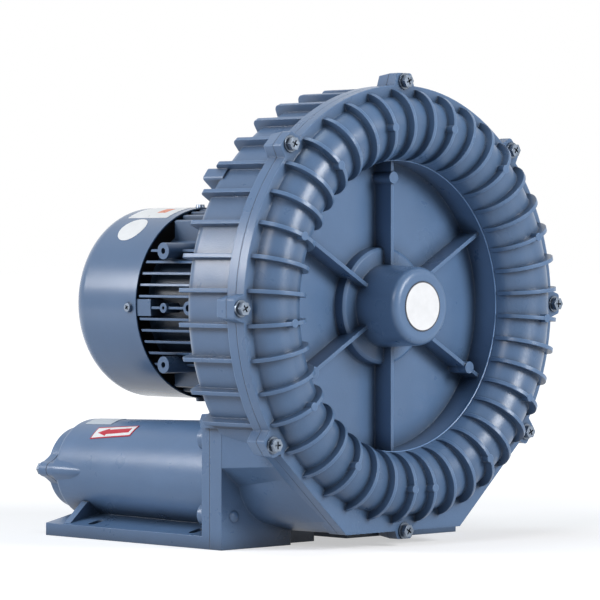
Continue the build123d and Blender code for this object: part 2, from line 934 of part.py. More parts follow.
def add_silencer_foot(side):
    """Foot plate along the tube, crowned up to it."""
    cx, cz = duct_centre(side)
    lip = -axis_height + foot_lip
    with BuildSketch(across(silencer_y)) as plate:
        Polygon(
            (cx - flange_half, -axis_height),
            (cx - flange_half, lip),
            (cx - foot_crown_half, -foot_crown_drop),
            (cx + foot_crown_half, -foot_crown_drop),
            (cx + flange_half, lip),
            (cx + flange_half, -axis_height),
            align=None,
        )
    extrude(plate.sketch, amount=silencer_y - foot_end_y)
    with BuildSketch(across(gusset_y)) as gusset:
        Polygon(
            (cx - flange_half + 1, lip - 2),
            (cx - gusset_top_half, -gusset_top_drop),
            (cx + gusset_top_half, -gusset_top_drop),
            (cx + flange_half - 1, lip - 2),
            align=None,
        )
    extrude(gusset.sketch, amount=-gusset_t)
    with BuildSketch(level(0)) as slots:
        for y in slot_ys:
            with Locations((side * slot_half_x, y)):
                SlotOverall(slot_length, slot_width)
    extrude(slots.sketch, amount=foot_lip + slot_cut, mode=Mode.SUBTRACT)


def make_silencer_gasket(side, name):
    with BuildPart() as silencer_gasket:
        with BuildSketch(across(foot_back_y)) as sheet:
            foot_outline(side)
            with Locations(duct_centre(side)):
                Circle(duct_mouth_r, mode=Mode.SUBTRACT)
            with Locations(*silencer_bolt_places(side)):
                Circle(seam_bolt_r + thread_gap, mode=Mode.SUBTRACT)
        extrude(sheet.sketch, amount=-silencer_gasket_t)
    finish(silencer_gasket, name)


def make_silencer_bolts():
    with BuildPart() as silencer_bolts:
        for side in (-1, 1):
            for place in silencer_bolt_places(side):
                seat = silencer_flange_back + corner_boss_t
                with BuildSketch(across(seat)) as head:
                    with Locations(place):
                        RegularPolygon(head_r, 6)
                extrude(head.sketch, amount=-head_h)
                disc(seam_bolt_r, seat - silencer_bolt_length, seat, place)
    finish(silencer_bolts, "silencer_bolts")


def make_foam_liners():
    with BuildPart() as foam_liners:
        for side in (-1, 1):
            back = tube_back_y - tube_wall - liner_end_gap
            ring(liner_r, core_r + liner_core_gap, liner_front_y, back, duct_centre(side))
    finish(foam_liners, "foam_liners")


def make_perforated_tubes():
    with BuildPart() as perforated_tubes:
        for side in (-1, 1):
            back = tube_back_y - tube_wall - core_end_gap
            ring(core_r, core_r - core_wall, core_front_y, back, duct_centre(side))
    finish(perforated_tubes, "perforated_tubes")


def make_port_gaskets():
    with BuildPart() as port_gaskets:
        for side in (-1, 1):
            with BuildSketch(across(neck_back_y)) as sheet:
                port_outline(side)
                with Locations(duct_centre(side)):
                    Circle(port_bore_r, mode=Mode.SUBTRACT)
                with Locations(*port_bolt_places(side)):
                    Circle(port_bolt_r + thread_gap, mode=Mode.SUBTRACT)
            extrude(sheet.sketch, amount=-port_gasket_t)
    finish(port_gaskets, "port_gaskets")


def make_port_flange(side, name):
    with BuildPart() as port_flange:
        with BuildSketch(across(port_y)) as plate:
            port_outline(side)
        extrude(plate.sketch, amount=-port_flange_t)
        disc(port_bore_r, port_y, port_back_y, duct_centre(side), mode=Mode.SUBTRACT)
        discs(
            port_bolt_r + thread_gap,
            port_y,
            port_back_y,
            port_bolt_places(side),
            mode=Mode.SUBTRACT,
        )
    finish(port_flange, name)


def make_port_bolts():
    with BuildPart() as port_bolts:
        places = port_bolt_places(-1) + port_bolt_places(1)
        with BuildSketch(across(port_back_y)) as heads:
            with Locations(*places):
                RegularPolygon(head_r, 6)
        extrude(heads.sketch, amount=-head_h)
        length = port_flange_t + port_gasket_t + port_neck_t
        discs(port_bolt_r, port_back_y - length, port_back_y, places)
    finish(port_bolts, "port_bolts")


# ---- rotor ----
def make_shaft():
    with BuildPart() as shaft:
        spun(
            [
                (shaft_front_y, 0),
                (shaft_front_y, thread_r),
                (front_bearing_y, thread_r),
                (front_bearing_y, bearing_bore_r),
                (front_bearing_back, bearing_bore_r),
                (front_bearing_back, impeller_seat_r),
                (shoulder_y, impeller_seat_r),
                (shoulder_y, seal_track_r),
                (core_y - core_seat_over, seal_track_r),
                (core_y - core_seat_over, rotor_seat_r),
                (core_y + core_length + core_seat_over, rotor_seat_r),
                (core_y + core_length + core_seat_over, rear_shoulder_r),
                (rear_bearing_y, rear_shoulder_r),
                (rear_bearing_y, bearing_bore_r),
                (rear_bearing_back + wave_washer_t, bearing_bore_r),
                (rear_bearing_back + wave_washer_t, fan_seat_r),
                (shaft_rear_y, fan_seat_r),
                (shaft_rear_y, 0),
            ]
        )
        key_slot()
        ring_y = fan_front_y + fan_hub_t
        with BuildSketch(across(ring_y)) as groove:
            Circle(fan_seat_r)
            Circle(fan_seat_r - 1, mode=Mode.SUBTRACT)
        extrude(groove.sketch, amount=-circlip_t, mode=Mode.SUBTRACT)
    finish(shaft, "shaft")


def key_slot():
    """Keyway under the impeller hub, cut into the seat."""
    middle = impeller_hub_front_y + impeller_hub_t / 2
    top = axis_height + impeller_seat_r + key_h / 2
    with BuildSketch(level(top)) as slot:
        with Locations((0, middle)):
            Rectangle(key_w, key_length)
    extrude(slot.sketch, amount=-key_h, mode=Mode.SUBTRACT)


def make_impeller_key():
    with BuildPart() as impeller_key:
        middle = impeller_hub_front_y + impeller_hub_t / 2
        bottom = axis_height + impeller_seat_r - key_h / 2
        with BuildSketch(level(bottom)) as bar:
            with Locations((0, middle)):
                Rectangle(key_w, key_length)
        extrude(bar.sketch, amount=key_h)
    finish(impeller_key, "impeller_key")


def make_impeller():
    """Web and hub with a ring of blades that dips into both side channels."""
    middle = (impeller_front_y + impeller_back_y) / 2
    with BuildPart() as impeller:
        ring(impeller_hub_r, impeller_seat_r, impeller_hub_front_y, shoulder_y)
        web_back = impeller_web_y + impeller_web_t
        ring(blade_root_r, impeller_hub_r - 1, impeller_web_y, web_back)
        ring(blade_root_r, sleeve_in_r, impeller_front_y, impeller_back_y)
        ring(blade_tip_r, blade_root_r - 1, middle - divider_t / 2, middle + divider_t / 2)
        with BuildSketch(across(impeller_front_y)) as blades:
            span = blade_tip_r - blade_root_r + 1
            with PolarLocations(blade_tip_r - span / 2, blade_count):
                Rectangle(span, blade_t)
        extrude(blades.sketch, amount=impeller_front_y - impeller_back_y)
        with BuildSketch(level(axis_height + impeller_seat_r - key_depth)) as keyway:
            with Locations((0, impeller_hub_front_y + impeller_hub_t / 2)):
                Rectangle(key_w, impeller_hub_t)
        extrude(keyway.sketch, amount=key_depth + key_h / 2, mode=Mode.SUBTRACT)
    finish(impeller, "impeller")


def make_impeller_spacer():
    with BuildPart() as impeller_spacer:
        ring(spacer_r, impeller_seat_r, front_bearing_back, impeller_hub_front_y)
    finish(impeller_spacer, "impeller_spacer")


def make_lock_washer():
    with BuildPart() as lock_washer:
        ring(lock_washer_r, thread_r, front_bearing_y - lock_washer_t, front_bearing_y)
    finish(lock_washer, "lock_washer")


def make_shaft_nut():
    with BuildPart() as shaft_nut:
        back = front_bearing_y - lock_washer_t
        with BuildSketch(across(back)) as hexagon:
            RegularPolygon(nut_af / 2, 6, major_radius=False)
            Circle(thread_r, mode=Mode.SUBTRACT)
        extrude(hexagon.sketch, amount=nut_t)
    finish(shaft_nut, "shaft_nut")


def make_bearing(start_y, prefix):
    """Deep groove ball bearing: outer race, inner race, balls held in a cage."""
    middle = start_y + bearing_width / 2
    end = start_y + bearing_width
    groove_r = ball_r + ball_gap
    with BuildPart() as outer_race:
        ring(bearing_outer_r, bearing_outer_r - race_wall, start_y, end)
        cut_groove(middle, groove_r)
    finish(outer_race, f"{prefix}_outer_race")
    with BuildPart() as inner_race:
        ring(bearing_bore_r + race_wall, bearing_bore_r, start_y, end)
        cut_groove(middle, groove_r)
    finish(inner_race, f"{prefix}_inner_race")
    with BuildPart() as ball_set:
        ring(
            ball_circle_r + cage_t / 2,
            ball_circle_r - cage_t / 2,
            middle - cage_width / 2,
            middle + cage_width / 2,
        )
        with BuildSketch(across(middle)) as seats:
            with PolarLocations(ball_circle_r, ball_count):
                Circle(ball_r)
        for i in range(ball_count):
            with BuildSketch(facing_out(i * 360 / ball_count, middle)) as pocket:
                Circle(ball_r + cage_gap)
            extrude(pocket.sketch, amount=bearing_outer_r, mode=Mode.SUBTRACT)
        with Locations(*[face.center() for face in seats.sketch.faces()]):
            Sphere(ball_r)
    finish(ball_set, f"{prefix}_ball_set")


def cut_groove(y, radius):
    with BuildSketch(along()) as groove:
        with Locations((y, ball_circle_r)):
            Circle(radius)
    revolve(groove.sketch, axis=shaft_axis, mode=Mode.SUBTRACT)


def make_wave_washer():
    with BuildPart() as wave_washer:
        end = rear_bearing_back + wave_washer_t
        ring(bearing_outer_r - wave_washer_gap, bearing_outer_r - wave_washer_width, rear_bearing_back, end)
    finish(wave_washer, "wave_washer")


def make_front_shaft_seal():
    with BuildPart() as front_shaft_seal:
        ring(bearing_outer_r, spacer_r + seal_gap, front_seal_y, front_seal_y + seal_width)
    finish(front_shaft_seal, "front_shaft_seal")


def make_rear_shaft_seal():
    with BuildPart() as rear_shaft_seal:
        ring(rear_seal_r, seal_track_r + seal_gap, rear_seal_y, rear_seal_y + seal_width)
    finish(rear_shaft_seal, "rear_shaft_seal")


def make_rotor_core():
    with BuildPart() as rotor_core:
        ring(rotor_r, rotor_seat_r, core_y, core_y + core_length)
    finish(rotor_core, "rotor_core")
    with BuildPart() as rotor_end_rings:
        for y0 in (core_y - ring_t, core_y + core_length):
            ring(rotor_r - 1, ring_in_r, y0, y0 + ring_t)
    finish(rotor_end_rings, "rotor_end_rings")


def make_cooling_fan():
    with BuildPart() as cooling_fan:
        ring(fan_hub_r, fan_seat_r, fan_front_y, fan_front_y + fan_hub_t)
        ring(fan_disc_r, fan_hub_r - 1, fan_front_y, fan_front_y + fan_disc_t)
        with BuildSketch(across(fan_front_y)) as blades:
            span = fan_blade_r - fan_hub_r + 1
            with PolarLocations(fan_blade_r - span / 2, fan_blades):
                Rectangle(span, fan_blade_t)
        extrude(blades.sketch, amount=-fan_blade_h)
    finish(cooling_fan, "cooling_fan")


def make_fan_circlip():
    with BuildPart() as fan_circlip:
        y0 = fan_front_y + fan_hub_t
        ring(fan_seat_r + circlip_lip, fan_seat_r - 1, y0, y0 + circlip_t)
    finish(fan_circlip, "fan_circlip")


# ---- motor housing ----
def frame_section():
    """Frame tube with level fins at the sides and upright fins above and below."""
    for i in range(-level_fin_pairs, level_fin_pairs + 1):
        with Locations((0, frame_fin_offset + i * frame_fin_pitch)):
            Rectangle(2 * frame_fin_r, frame_fin_t)
    for i in range(-upright_fin_pairs, upright_fin_pairs + 1):
        with Locations((i * frame_fin_pitch, 0)):
            Rectangle(frame_fin_t, 2 * frame_fin_r)
    Circle(frame_fin_r, mode=Mode.INTERSECT)
    Circle(frame_core_r)


def foot_pad_places():
    return [(y, frame_fin_offset + s * pad_rise) for y in pad_ys for s in (-1, 1)]


def add_frame_pads():
    """Round pads for feet on both sides, and two smaller ones beside them on the left."""
    side_pins(pad_r, -pad_x, pad_x, foot_pad_places())
    side_pins(small_pad_r, -pad_x, 0, [(pad_ys[1], frame_fin_offset)])
    side_pins(mid_pad_r, -pad_x, 0, [(mid_pad_y, frame_fin_offset)])


def cut_pad_holes():
    """Tapped holes in the ends of the pads."""
    for s in (-1, 1):
        end = s * pad_x
        side_pins(pad_hole_r, end, end - s * pad_hole_depth, foot_pad_places(), Mode.SUBTRACT)
    floor = pad_hole_depth - pad_x
    small = [(pad_ys[1], frame_fin_offset)]
    side_pins(small_pad_hole_r, -pad_x, floor, small, Mode.SUBTRACT)
    side_pins(mid_pad_hole_r, -pad_x, floor, [(mid_pad_y, frame_fin_offset)], Mode.SUBTRACT)


def lug_boxes(inner_r, grow=0.0):
    """Four places round the frame where the rear shield reaches out to the cowl."""
    for angle in side_angles:
        shift = frame_fin_offset if angle in flank_angles else 0
        x, z = polar((inner_r + lug_r + grow) / 2, angle)
        with Locations(Location((x, z + shift), angle)):
            Rectangle(lug_r + grow - inner_r, 2 * (lug_half + grow))


def make_motor_frame():
    with BuildPart() as motor_frame:
        with BuildSketch(across(frame_front_y)) as section:
            frame_section()
        extrude(section.sketch, amount=frame_front_y - frame_fin_back_y)
        disc(frame_flange_r, frame_front_y, frame_front_y + frame_flange_t)
        add_frame_pads()
        # pad for the terminal box
        with BuildSketch(to_right(box_pad_x)) as box_pad:
            with Locations((box_y, 0)):
                Rectangle(2 * box_pad_half_y, 2 * box_pad_half_z)
        extrude(box_pad.sketch, amount=frame_bore_r - box_pad_x)
        cut_pad_holes()
        disc(frame_bore_r, frame_front_y, frame_fin_back_y, mode=Mode.SUBTRACT)
        # room behind the tube for the rear shield and its lugs
        disc(frame_core_r + lug_gap, frame_back_y, frame_fin_back_y, mode=Mode.SUBTRACT)
        with BuildSketch(across(lug_front_y - lug_gap)) as room:
            lug_boxes(frame_core_r - lug_root, lug_gap)
            Circle(frame_core_r, mode=Mode.SUBTRACT)
        room_depth = frame_fin_back_y - lug_front_y + lug_gap
        extrude(room.sketch, amount=-room_depth, mode=Mode.SUBTRACT)
        head_back = frame_front_y + frame_flange_t + head_h + 6
        spot_y = frame_front_y + frame_flange_t
        discs(head_r + 2, spot_y, head_back, mount_bolts, mode=Mode.SUBTRACT)
        bolt_hole = mount_bolt_r + thread_gap
        discs(bolt_hole, frame_front_y, spot_y, mount_bolts, mode=Mode.SUBTRACT)
        # cable way into the terminal box
        with BuildSketch(to_right(box_pad_x)) as way:
            with Locations((box_y, 0)):
                Circle(cable_way_r)
        extrude(way.sketch, amount=frame_bore_r - box_pad_x - cable_way_r, mode=Mode.SUBTRACT)
    finish(motor_frame, "motor_frame")


def make_mount_bolts():
    with BuildPart() as mount_bolts_part:
        seat = frame_front_y + frame_flange_t
        with BuildSketch(across(seat)) as heads:
            with Locations(*mount_bolts):
                RegularPolygon(head_r, 6)
        extrude(heads.sketch, amount=-head_h)
        discs(mount_bolt_r, mount_ring_back - mount_bolt_depth, seat, mount_bolts)
    finish(mount_bolts_part, "motor_mount_bolts")


def make_rear_end_shield():
    with BuildPart() as rear_end_shield:
        with BuildSketch(along()) as section:
            Polygon(
                (frame_back_y, shield_hole_r),
                (frame_back_y, frame_core_r),
                (frame_back_y + shield_t, frame_core_r),
                (frame_back_y + shield_t, shield_hub_r + 6),
                (shield_back_y, shield_hub_r),
                (shield_back_y + 2, shield_hole_r),
                align=None,
            )
        revolve(section.sketch, axis=shaft_axis)
        with BuildSketch(across(lug_front_y)) as lugs:
            lug_boxes(frame_core_r - lug_root)
            Circle(frame_core_r, mode=Mode.SUBTRACT)
            Circle(lug_r, mode=Mode.INTERSECT)
        extrude(lugs.sketch, amount=lug_front_y - shield_back_y)
        with BuildSketch(across(frame_back_y)) as lug_roots:
            lug_boxes(frame_core_r - lug_root)
            Circle(lug_r, mode=Mode.INTERSECT)
        extrude(lug_roots.sketch, amount=-shield_t)
        disc(
            bearing_outer_r,
            frame_back_y,
            rear_bearing_back + wave_washer_t,
            mode=Mode.SUBTRACT,
        )
        bolt_hole = shield_bolt_r + thread_gap
        discs(bolt_hole, frame_back_y, frame_back_y + shield_t, shield_bolts, mode=Mode.SUBTRACT)
        cut_cowl_screw_holes(frame_core_r - 4)
    finish(rear_end_shield, "rear_end_shield")


def cowl_screw_plane(angle):
    """Plane at the shaft facing out along a cowl screw."""
    shift = frame_fin_offset if angle in flank_angles else 0
    return facing_out(angle, cowl_screw_y, shift)


def cut_cowl_screw_holes(depth_r):
    for angle in side_angles:
        with BuildSketch(cowl_screw_plane(angle).offset(depth_r)) as hole:
            Circle(cowl_screw_r + thread_gap)
        extrude(hole.sketch, amount=cowl_r - depth_r + 2, mode=Mode.SUBTRACT)


def make_shield_bolts():
    with BuildPart() as end_shield_bolts:
        seat = frame_back_y + shield_t
        with BuildSketch(across(seat)) as heads:
            with Locations(*shield_bolts):
                RegularPolygon(shield_bolt_r * shield_head_share, 6)
        extrude(heads.sketch, amount=-shield_bolt_r * shield_head_h_share)
        discs(shield_bolt_r, seat - shield_t, seat, shield_bolts)
    finish(end_shield_bolts, "end_shield_bolts")


def make_fan_cowl():
    """Pressed steel cowl with a rounded rear edge and an air grille."""
    with BuildPart() as fan_cowl:
        with BuildSketch(along()) as skin:
            with BuildLine():
                rim = Line((cowl_front_y, cowl_in_r), (cowl_front_y, cowl_r))
                top = Line(rim @ 1, (cowl_back_y - cowl_edge, cowl_r))
                bend = RadiusArc(top @ 1, (cowl_back_y, cowl_r - cowl_edge), cowl_edge)
                back = Polyline(bend @ 1, (cowl_back_y, 0), (cowl_back_y - cowl_t, 0))
                inner_edge = cowl_edge - cowl_t
                low = Line(back @ 1, (cowl_back_y - cowl_t, cowl_r - cowl_edge))
                inner = RadiusArc(low @ 1, (cowl_back_y - cowl_edge, cowl_in_r), -inner_edge)
                Line(inner @ 1, rim @ 0)
            make_face()
        revolve(skin.sketch, axis=shaft_axis)
        with BuildSketch(across(cowl_back_y - cowl_t)) as slots:
            for radius, count, length in grille_rings:
                with PolarLocations(radius, count):
                    SlotOverall(length, grille_slot_w)
        extrude(slots.sketch, amount=-cowl_t, mode=Mode.SUBTRACT)
        cut_cowl_screw_holes(cowl_in_r - 2)
    finish(fan_cowl, "fan_cowl")


def make_cowl_screws():
    with BuildPart() as cowl_screws:
        for angle in side_angles:
            seat = cowl_screw_plane(angle).offset(cowl_r)
            with BuildSketch(seat) as head:
                Circle(cowl_screw_head_r)
            extrude(head.sketch, amount=cowl_screw_head_h, taper=cowl_screw_draft)
            with BuildSketch(seat) as shank:
                Circle(cowl_screw_r)
            extrude(shank.sketch, amount=frame_core_r - cowl_r)
            with BuildSketch(seat.offset(cowl_screw_head_h)) as recess:
                with Locations(Location((0, 0), 30)):
                    Rectangle(cowl_screw_head_r, recess_t)
                    Rectangle(recess_t, cowl_screw_head_r)
            extrude(recess.sketch, amount=-cowl_recess_depth, mode=Mode.SUBTRACT)
    finish(cowl_screws, "cowl_screws")


def make_stator():
    with BuildPart() as stator_core:
        ring(frame_bore_r, rotor_r + air_gap, core_y, core_y + core_length)
    finish(stator_core, "stator_core")
    with BuildPart() as stator_windings:
        for y0 in (core_y - head_length, core_y + core_length):
            ring(head_out_r, head_in_r, y0, y0 + head_length)
    finish(stator_windings, "stator_windings")


# ---- terminal box ----
def box_plate(x, thickness, inset=0.0):
    """Rounded square plate that faces +X, from x outwards."""
    with BuildSketch(to_right(x)) as plate:
        with Locations((box_y, 0)):
            size = 2 * (box_half - inset)
            RectangleRounded(size, size, lid_corner - inset)
    return plate.sketch, thickness


def lid_screw_places():
    d = box_half - lid_screw_inset
    return [(box_y + a * d, b * d) for a in (-1, 1) for b in (-1, 1)]


def stud_places():
    rows = (-stud_pitch / 2, stud_pitch / 2)
    return [(box_y + i * stud_pitch, z) for i in (-1, 0, 1) for z in rows]


def make_terminal_box():
    mouth = box_pad_x + box_depth
    with BuildPart() as terminal_box:
        outer, depth = box_plate(box_pad_x, box_depth)
        extrude(outer, amount=depth)
        hollow, depth = box_plate(box_pad_x + box_wall, box_depth - box_wall, box_wall)
        extrude(hollow, amount=depth, mode=Mode.SUBTRACT)
        side_pins(lid_screw_r + lid_boss_wall, box_pad_x + box_wall, mouth, lid_screw_places())
        places = lid_screw_places()
        hole = lid_screw_r + thread_gap
        side_pins(hole, mouth - lid_screw_length, mouth, places, mode=Mode.SUBTRACT)
        cable_hole = [(box_y - box_hole_shift, 0)]
        side_pins(box_hole_r, box_pad_x, box_pad_x + box_wall, cable_hole, mode=Mode.SUBTRACT)
        with BuildSketch(level(axis_height - box_half)) as entry:
            with Locations((box_pad_x + box_depth / 2, box_y)):
                Circle(gland_r + thread_gap)
        extrude(entry.sketch, amount=box_wall, mode=Mode.SUBTRACT)
    finish(terminal_box, "terminal_box")


def make_terminal_lid():
    mouth = box_pad_x + box_depth
    hole = lid_screw_r + thread_gap
    with BuildPart() as terminal_box_gasket:
        sheet, depth = box_plate(mouth, lid_gasket_t)
        extrude(sheet, amount=depth)
        opening, depth = box_plate(mouth, lid_gasket_t, box_wall)
        extrude(opening, amount=depth, mode=Mode.SUBTRACT)
        side_pins(lid_screw_r + lid_boss_wall, mouth, lid_x, lid_screw_places())
        side_pins(hole, mouth, lid_x, lid_screw_places(), mode=Mode.SUBTRACT)
    finish(terminal_box_gasket, "terminal_box_gasket")
    with BuildPart() as terminal_box_lid:
        plate, depth = box_plate(lid_x, lid_t)
        extrude(plate, amount=depth)
        side_pins(hole, lid_x, lid_x + lid_t, lid_screw_places(), mode=Mode.SUBTRACT)
        fillet(terminal_box_lid.faces().sort_by(Axis.X)[-1].outer_wire().edges(), lid_edge)
    finish(terminal_box_lid, "terminal_box_lid")
    with BuildPart() as terminal_lid_screws:
        top = lid_x + lid_t
        side_pins(lid_screw_r * lid_head_share, top, top + lid_head_h, lid_screw_places())
        side_pins(lid_screw_r, top - lid_screw_length, top, lid_screw_places())
    finish(terminal_lid_screws, "terminal_lid_screws")


def make_terminal_board():
    base = box_pad_x + box_wall
    with BuildPart() as terminal_board:
        with BuildSketch(to_right(base)) as board:
            with Locations((box_y, 0)):
                Rectangle(2 * board_half_y, 2 * board_half_z)
        extrude(board.sketch, amount=board_t)
        side_pins(stud_r, base, base + board_t, stud_places(), mode=Mode.SUBTRACT)
    finish(terminal_board, "terminal_board")
    with BuildPart() as terminal_studs:
        side_pins(stud_r, base, base + board_t + stud_length, stud_places())
        side_pins(stud_r * stud_nut_share, base + board_t, base + board_t + stud_nut_h, stud_places())
    finish(terminal_studs, "terminal_studs")


def make_cable_gland():
    """Screwed cable gland in the box's lower wall: shank, hexagon body, domed nut."""
    low = axis_height - box_half
    x = box_pad_x + box_depth / 2
    with BuildPart() as cable_gland:
        shank_top = low + box_wall + gland_nut_t
        with BuildSketch(level(low)) as shank:
            with Locations((x, box_y)):
                Circle(gland_r)
        extrude(shank.sketch, amount=shank_top - low)
        with BuildSketch(level(low + box_wall)) as nut:
            with Locations((x, box_y)):
                RegularPolygon(gland_flange_r, 6)
        extrude(nut.sketch, amount=gland_nut_t)
        with BuildSketch(level(low - gland_body_t)) as body:
            with Locations((x, box_y)):
                RegularPolygon(gland_flange_r, 6)
        extrude(body.sketch, amount=gland_body_t)
        with BuildSketch(level(low - gland_body_t)) as dome:
            with Locations((x, box_y)):
                Circle(gland_flange_r - 2)
        extrude(dome.sketch, amount=-gland_dome_t, taper=gland_draft)
        with BuildSketch(level(shank_top)) as bore:
            with Locations((x, box_y)):
                Circle(gland_bore_r)
        length = shank_top - low + gland_body_t + gland_dome_t
        extrude(bore.sketch, amount=-length, mode=Mode.SUBTRACT)
    finish(cable_gland, "cable_gland")


make_front_cover()
make_hub_badge()
make_rear_casing()
make_casing_gasket()
make_casing_bolts()
make_casing_bolt_washers()
for side, hand in ((-1, "left"), (1, "right")):
    make_silencer_body(side, f"{hand}_silencer_body")
    make_silencer_gasket(side, f"{hand}_silencer_gasket")
    make_port_flange(side, f"{hand}_port_flange")
make_silencer_bolts()
make_foam_liners()
make_perforated_tubes()
make_port_gaskets()
make_port_bolts()
make_shaft()
make_impeller_key()
make_impeller()
make_impeller_spacer()
make_lock_washer()
make_shaft_nut()
make_bearing(front_bearing_y, "front")
make_bearing(rear_bearing_y, "rear")
make_wave_washer()
make_front_shaft_seal()
make_rear_shaft_seal()
make_rotor_core()
make_cooling_fan()
make_fan_circlip()
make_motor_frame()
make_mount_bolts()
make_rear_end_shield()
make_shield_bolts()
make_fan_cowl()
make_cowl_screws()
make_stator()
make_terminal_box()
make_terminal_lid()
make_terminal_board()
make_cable_gland()
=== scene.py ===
"""Looks of a side channel blower: painted castings, zinc screws, plain labels and studio light."""

import math

import bmesh
import bpy
from mathutils import Matrix, Vector


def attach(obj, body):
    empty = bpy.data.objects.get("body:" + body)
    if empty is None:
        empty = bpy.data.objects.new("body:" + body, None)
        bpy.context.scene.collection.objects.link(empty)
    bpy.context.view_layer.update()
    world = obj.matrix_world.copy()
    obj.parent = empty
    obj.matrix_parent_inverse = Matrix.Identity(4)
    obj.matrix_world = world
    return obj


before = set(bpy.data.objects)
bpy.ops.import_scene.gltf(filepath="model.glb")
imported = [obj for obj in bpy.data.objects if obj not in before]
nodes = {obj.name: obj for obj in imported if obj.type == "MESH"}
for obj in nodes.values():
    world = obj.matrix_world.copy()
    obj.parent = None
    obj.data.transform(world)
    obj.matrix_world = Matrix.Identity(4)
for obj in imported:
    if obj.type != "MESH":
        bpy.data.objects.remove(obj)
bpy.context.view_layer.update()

# ---- places in metres, in the row frame; lengths along the machine start at the seam ----
SEAM_Y = -0.200
AXIS_Z = 0.235
TUBE_X = -0.094
TUBE_Z = AXIS_Z - 0.170
# ends of the left silencer's tube: distance behind the seam and radius
TUBE_FRONT = (0.1022, 0.057)
TUBE_REAR = (0.348, 0.051)
COWL_R = 0.099

# ---- colours ----
PAINT = (0.086, 0.155, 0.278)
ZINC = (0.20, 0.24, 0.30)

# ---- casting paint: noise scales per metre, and how strongly each effect shifts the colour ----
CLOUD_SCALE = 14.0
CLOUD_SHADES = (0.95, 1.06)
DUST_SCALE = 60.0
DUST_SPAN = (0.5, 0.78)
DUST_SHADE = 1.35
# paler edges are edge wear and a painted highlight
EDGE_SHARE = 0.45
EDGE_SPAN = (0.75, 0.99)
EDGE_WEAR_AND_HIGHLIGHT = 2.4
# darker corners are painted shade
CREVICE_SHARE = 0.9
CREVICE_SPAN = (0.35, 0.95)
CREVICE_SAMPLES = 6
CREVICE_SHADE = 0.16
PATCH_SCALE = 35.0
GRAIN_SCALE = 520.0
PAINT_SPECULAR = 0.36
PAINT_COAT_ROUGH = 0.22

# edge rounding of small parts
FINE_EDGE = 0.0004
# sockets of the Mix node when it blends colours
MIX_A = 6
MIX_B = 7
MIX_RESULT = 2


# ---- node helpers ----
def new_material(name):
    material = bpy.data.materials.new(name)
    material.use_nodes = True
    tree = material.node_tree
    tree.nodes.clear()
    out = tree.nodes.new("ShaderNodeOutputMaterial")
    shader = tree.nodes.new("ShaderNodeBsdfPrincipled")
    tree.links.new(shader.outputs["BSDF"], out.inputs["Surface"])
    return material, tree, shader


def place(tree):
    return tree.nodes.new("ShaderNodeTexCoord").outputs["Object"]


def noise(tree, where, scale, detail=3.0, rough=0.5, stretch=None):
    node = tree.nodes.new("ShaderNodeTexNoise")
    node.inputs["Scale"].default_value = scale
    node.inputs["Detail"].default_value = detail
    node.inputs["Roughness"].default_value = rough
    if stretch:
        mapping = tree.nodes.new("ShaderNodeMapping")
        mapping.inputs["Scale"].default_value = stretch
        tree.links.new(where, mapping.inputs["Vector"])
        where = mapping.outputs["Vector"]
    tree.links.new(where, node.inputs["Vector"])
    return node.outputs["Fac"]


def spread(tree, value, low, high, start=0.3, end=0.7):
    """Maps start to end onto low to high."""
    node = tree.nodes.new("ShaderNodeMapRange")
    node.inputs["From Min"].default_value = start
    node.inputs["From Max"].default_value = end
    node.inputs["To Min"].default_value = low
    node.inputs["To Max"].default_value = high
    tree.links.new(value, node.inputs["Value"])
    return node.outputs["Result"]


def vector_math(tree, operation, value, other=None):
    node = tree.nodes.new("ShaderNodeVectorMath")
    node.operation = operation
    tree.links.new(value, node.inputs[0])
    if isinstance(other, tuple):
        node.inputs[1].default_value = other
    elif other is not None:
        tree.links.new(other, node.inputs[1])
    return node.outputs["Value" if operation in ("LENGTH", "DOT_PRODUCT") else "Vector"]


def shade(colour, factor):
    return tuple(min(1.0, c * factor) for c in colour)


def two_tones(tree, value, colour, low, high, start=0.3, end=0.7):
    """The colour shaded by low where the value is at start, and by high where it is at end."""
    node = tree.nodes.new("ShaderNodeValToRGB")
    node.color_ramp.elements[0].position = start
    node.color_ramp.elements[0].color = (*shade(colour, low), 1)
    node.color_ramp.elements[1].position = end
    node.color_ramp.elements[1].color = (*shade(colour, high), 1)
    tree.links.new(value, node.inputs["Fac"])
    return node.outputs["Color"]


def blend_colours(tree, factor, a, b):
    node = tree.nodes.new("ShaderNodeMix")
    node.data_type = "RGBA"
    tree.links.new(factor, node.inputs["Factor"])
    for value, socket in ((a, node.inputs[MIX_A]), (b, node.inputs[MIX_B])):
        if isinstance(value, tuple):
            socket.default_value = (*value, 1)
        else:
            tree.links.new(value, socket)
    return node.outputs[MIX_RESULT]


def soft_edges(tree, radius, samples=4):
    node = tree.nodes.new("ShaderNodeBevel")
    node.samples = samples
    node.inputs["Radius"].default_value = radius
    return node.outputs["Normal"]


def edge_wear_and_highlight_mask(tree, rounded):
    """Mask of edge wear and painted highlight: 0 on open faces, up to EDGE_SHARE where the rounded normal
    leaves the face's own.
    """
    geometry = tree.nodes.new("ShaderNodeNewGeometry")
    alike = vector_math(tree, "DOT_PRODUCT", rounded, geometry.outputs["Normal"])
    return spread(tree, alike, EDGE_SHARE, 0.0, *EDGE_SPAN)


def painted_crevice_shade(tree, reach):
    """Painted shade: 0 on open faces, up to CREVICE_SHARE where neighbouring walls shade a corner."""
    node = tree.nodes.new("ShaderNodeAmbientOcclusion")
    node.samples = CREVICE_SAMPLES
    node.inputs["Distance"].default_value = reach
    return spread(tree, node.outputs["AO"], CREVICE_SHARE, 0.0, *CREVICE_SPAN)


def bump(tree, shader, height, depth, normal=None):
    node = tree.nodes.new("ShaderNodeBump")
    node.inputs["Distance"].default_value = depth
    node.inputs["Strength"].default_value = 1.0
    tree.links.new(height, node.inputs["Height"])
    if normal is not None:
        tree.links.new(normal, node.inputs["Normal"])
    tree.links.new(node.outputs["Normal"], shader.inputs["Normal"])


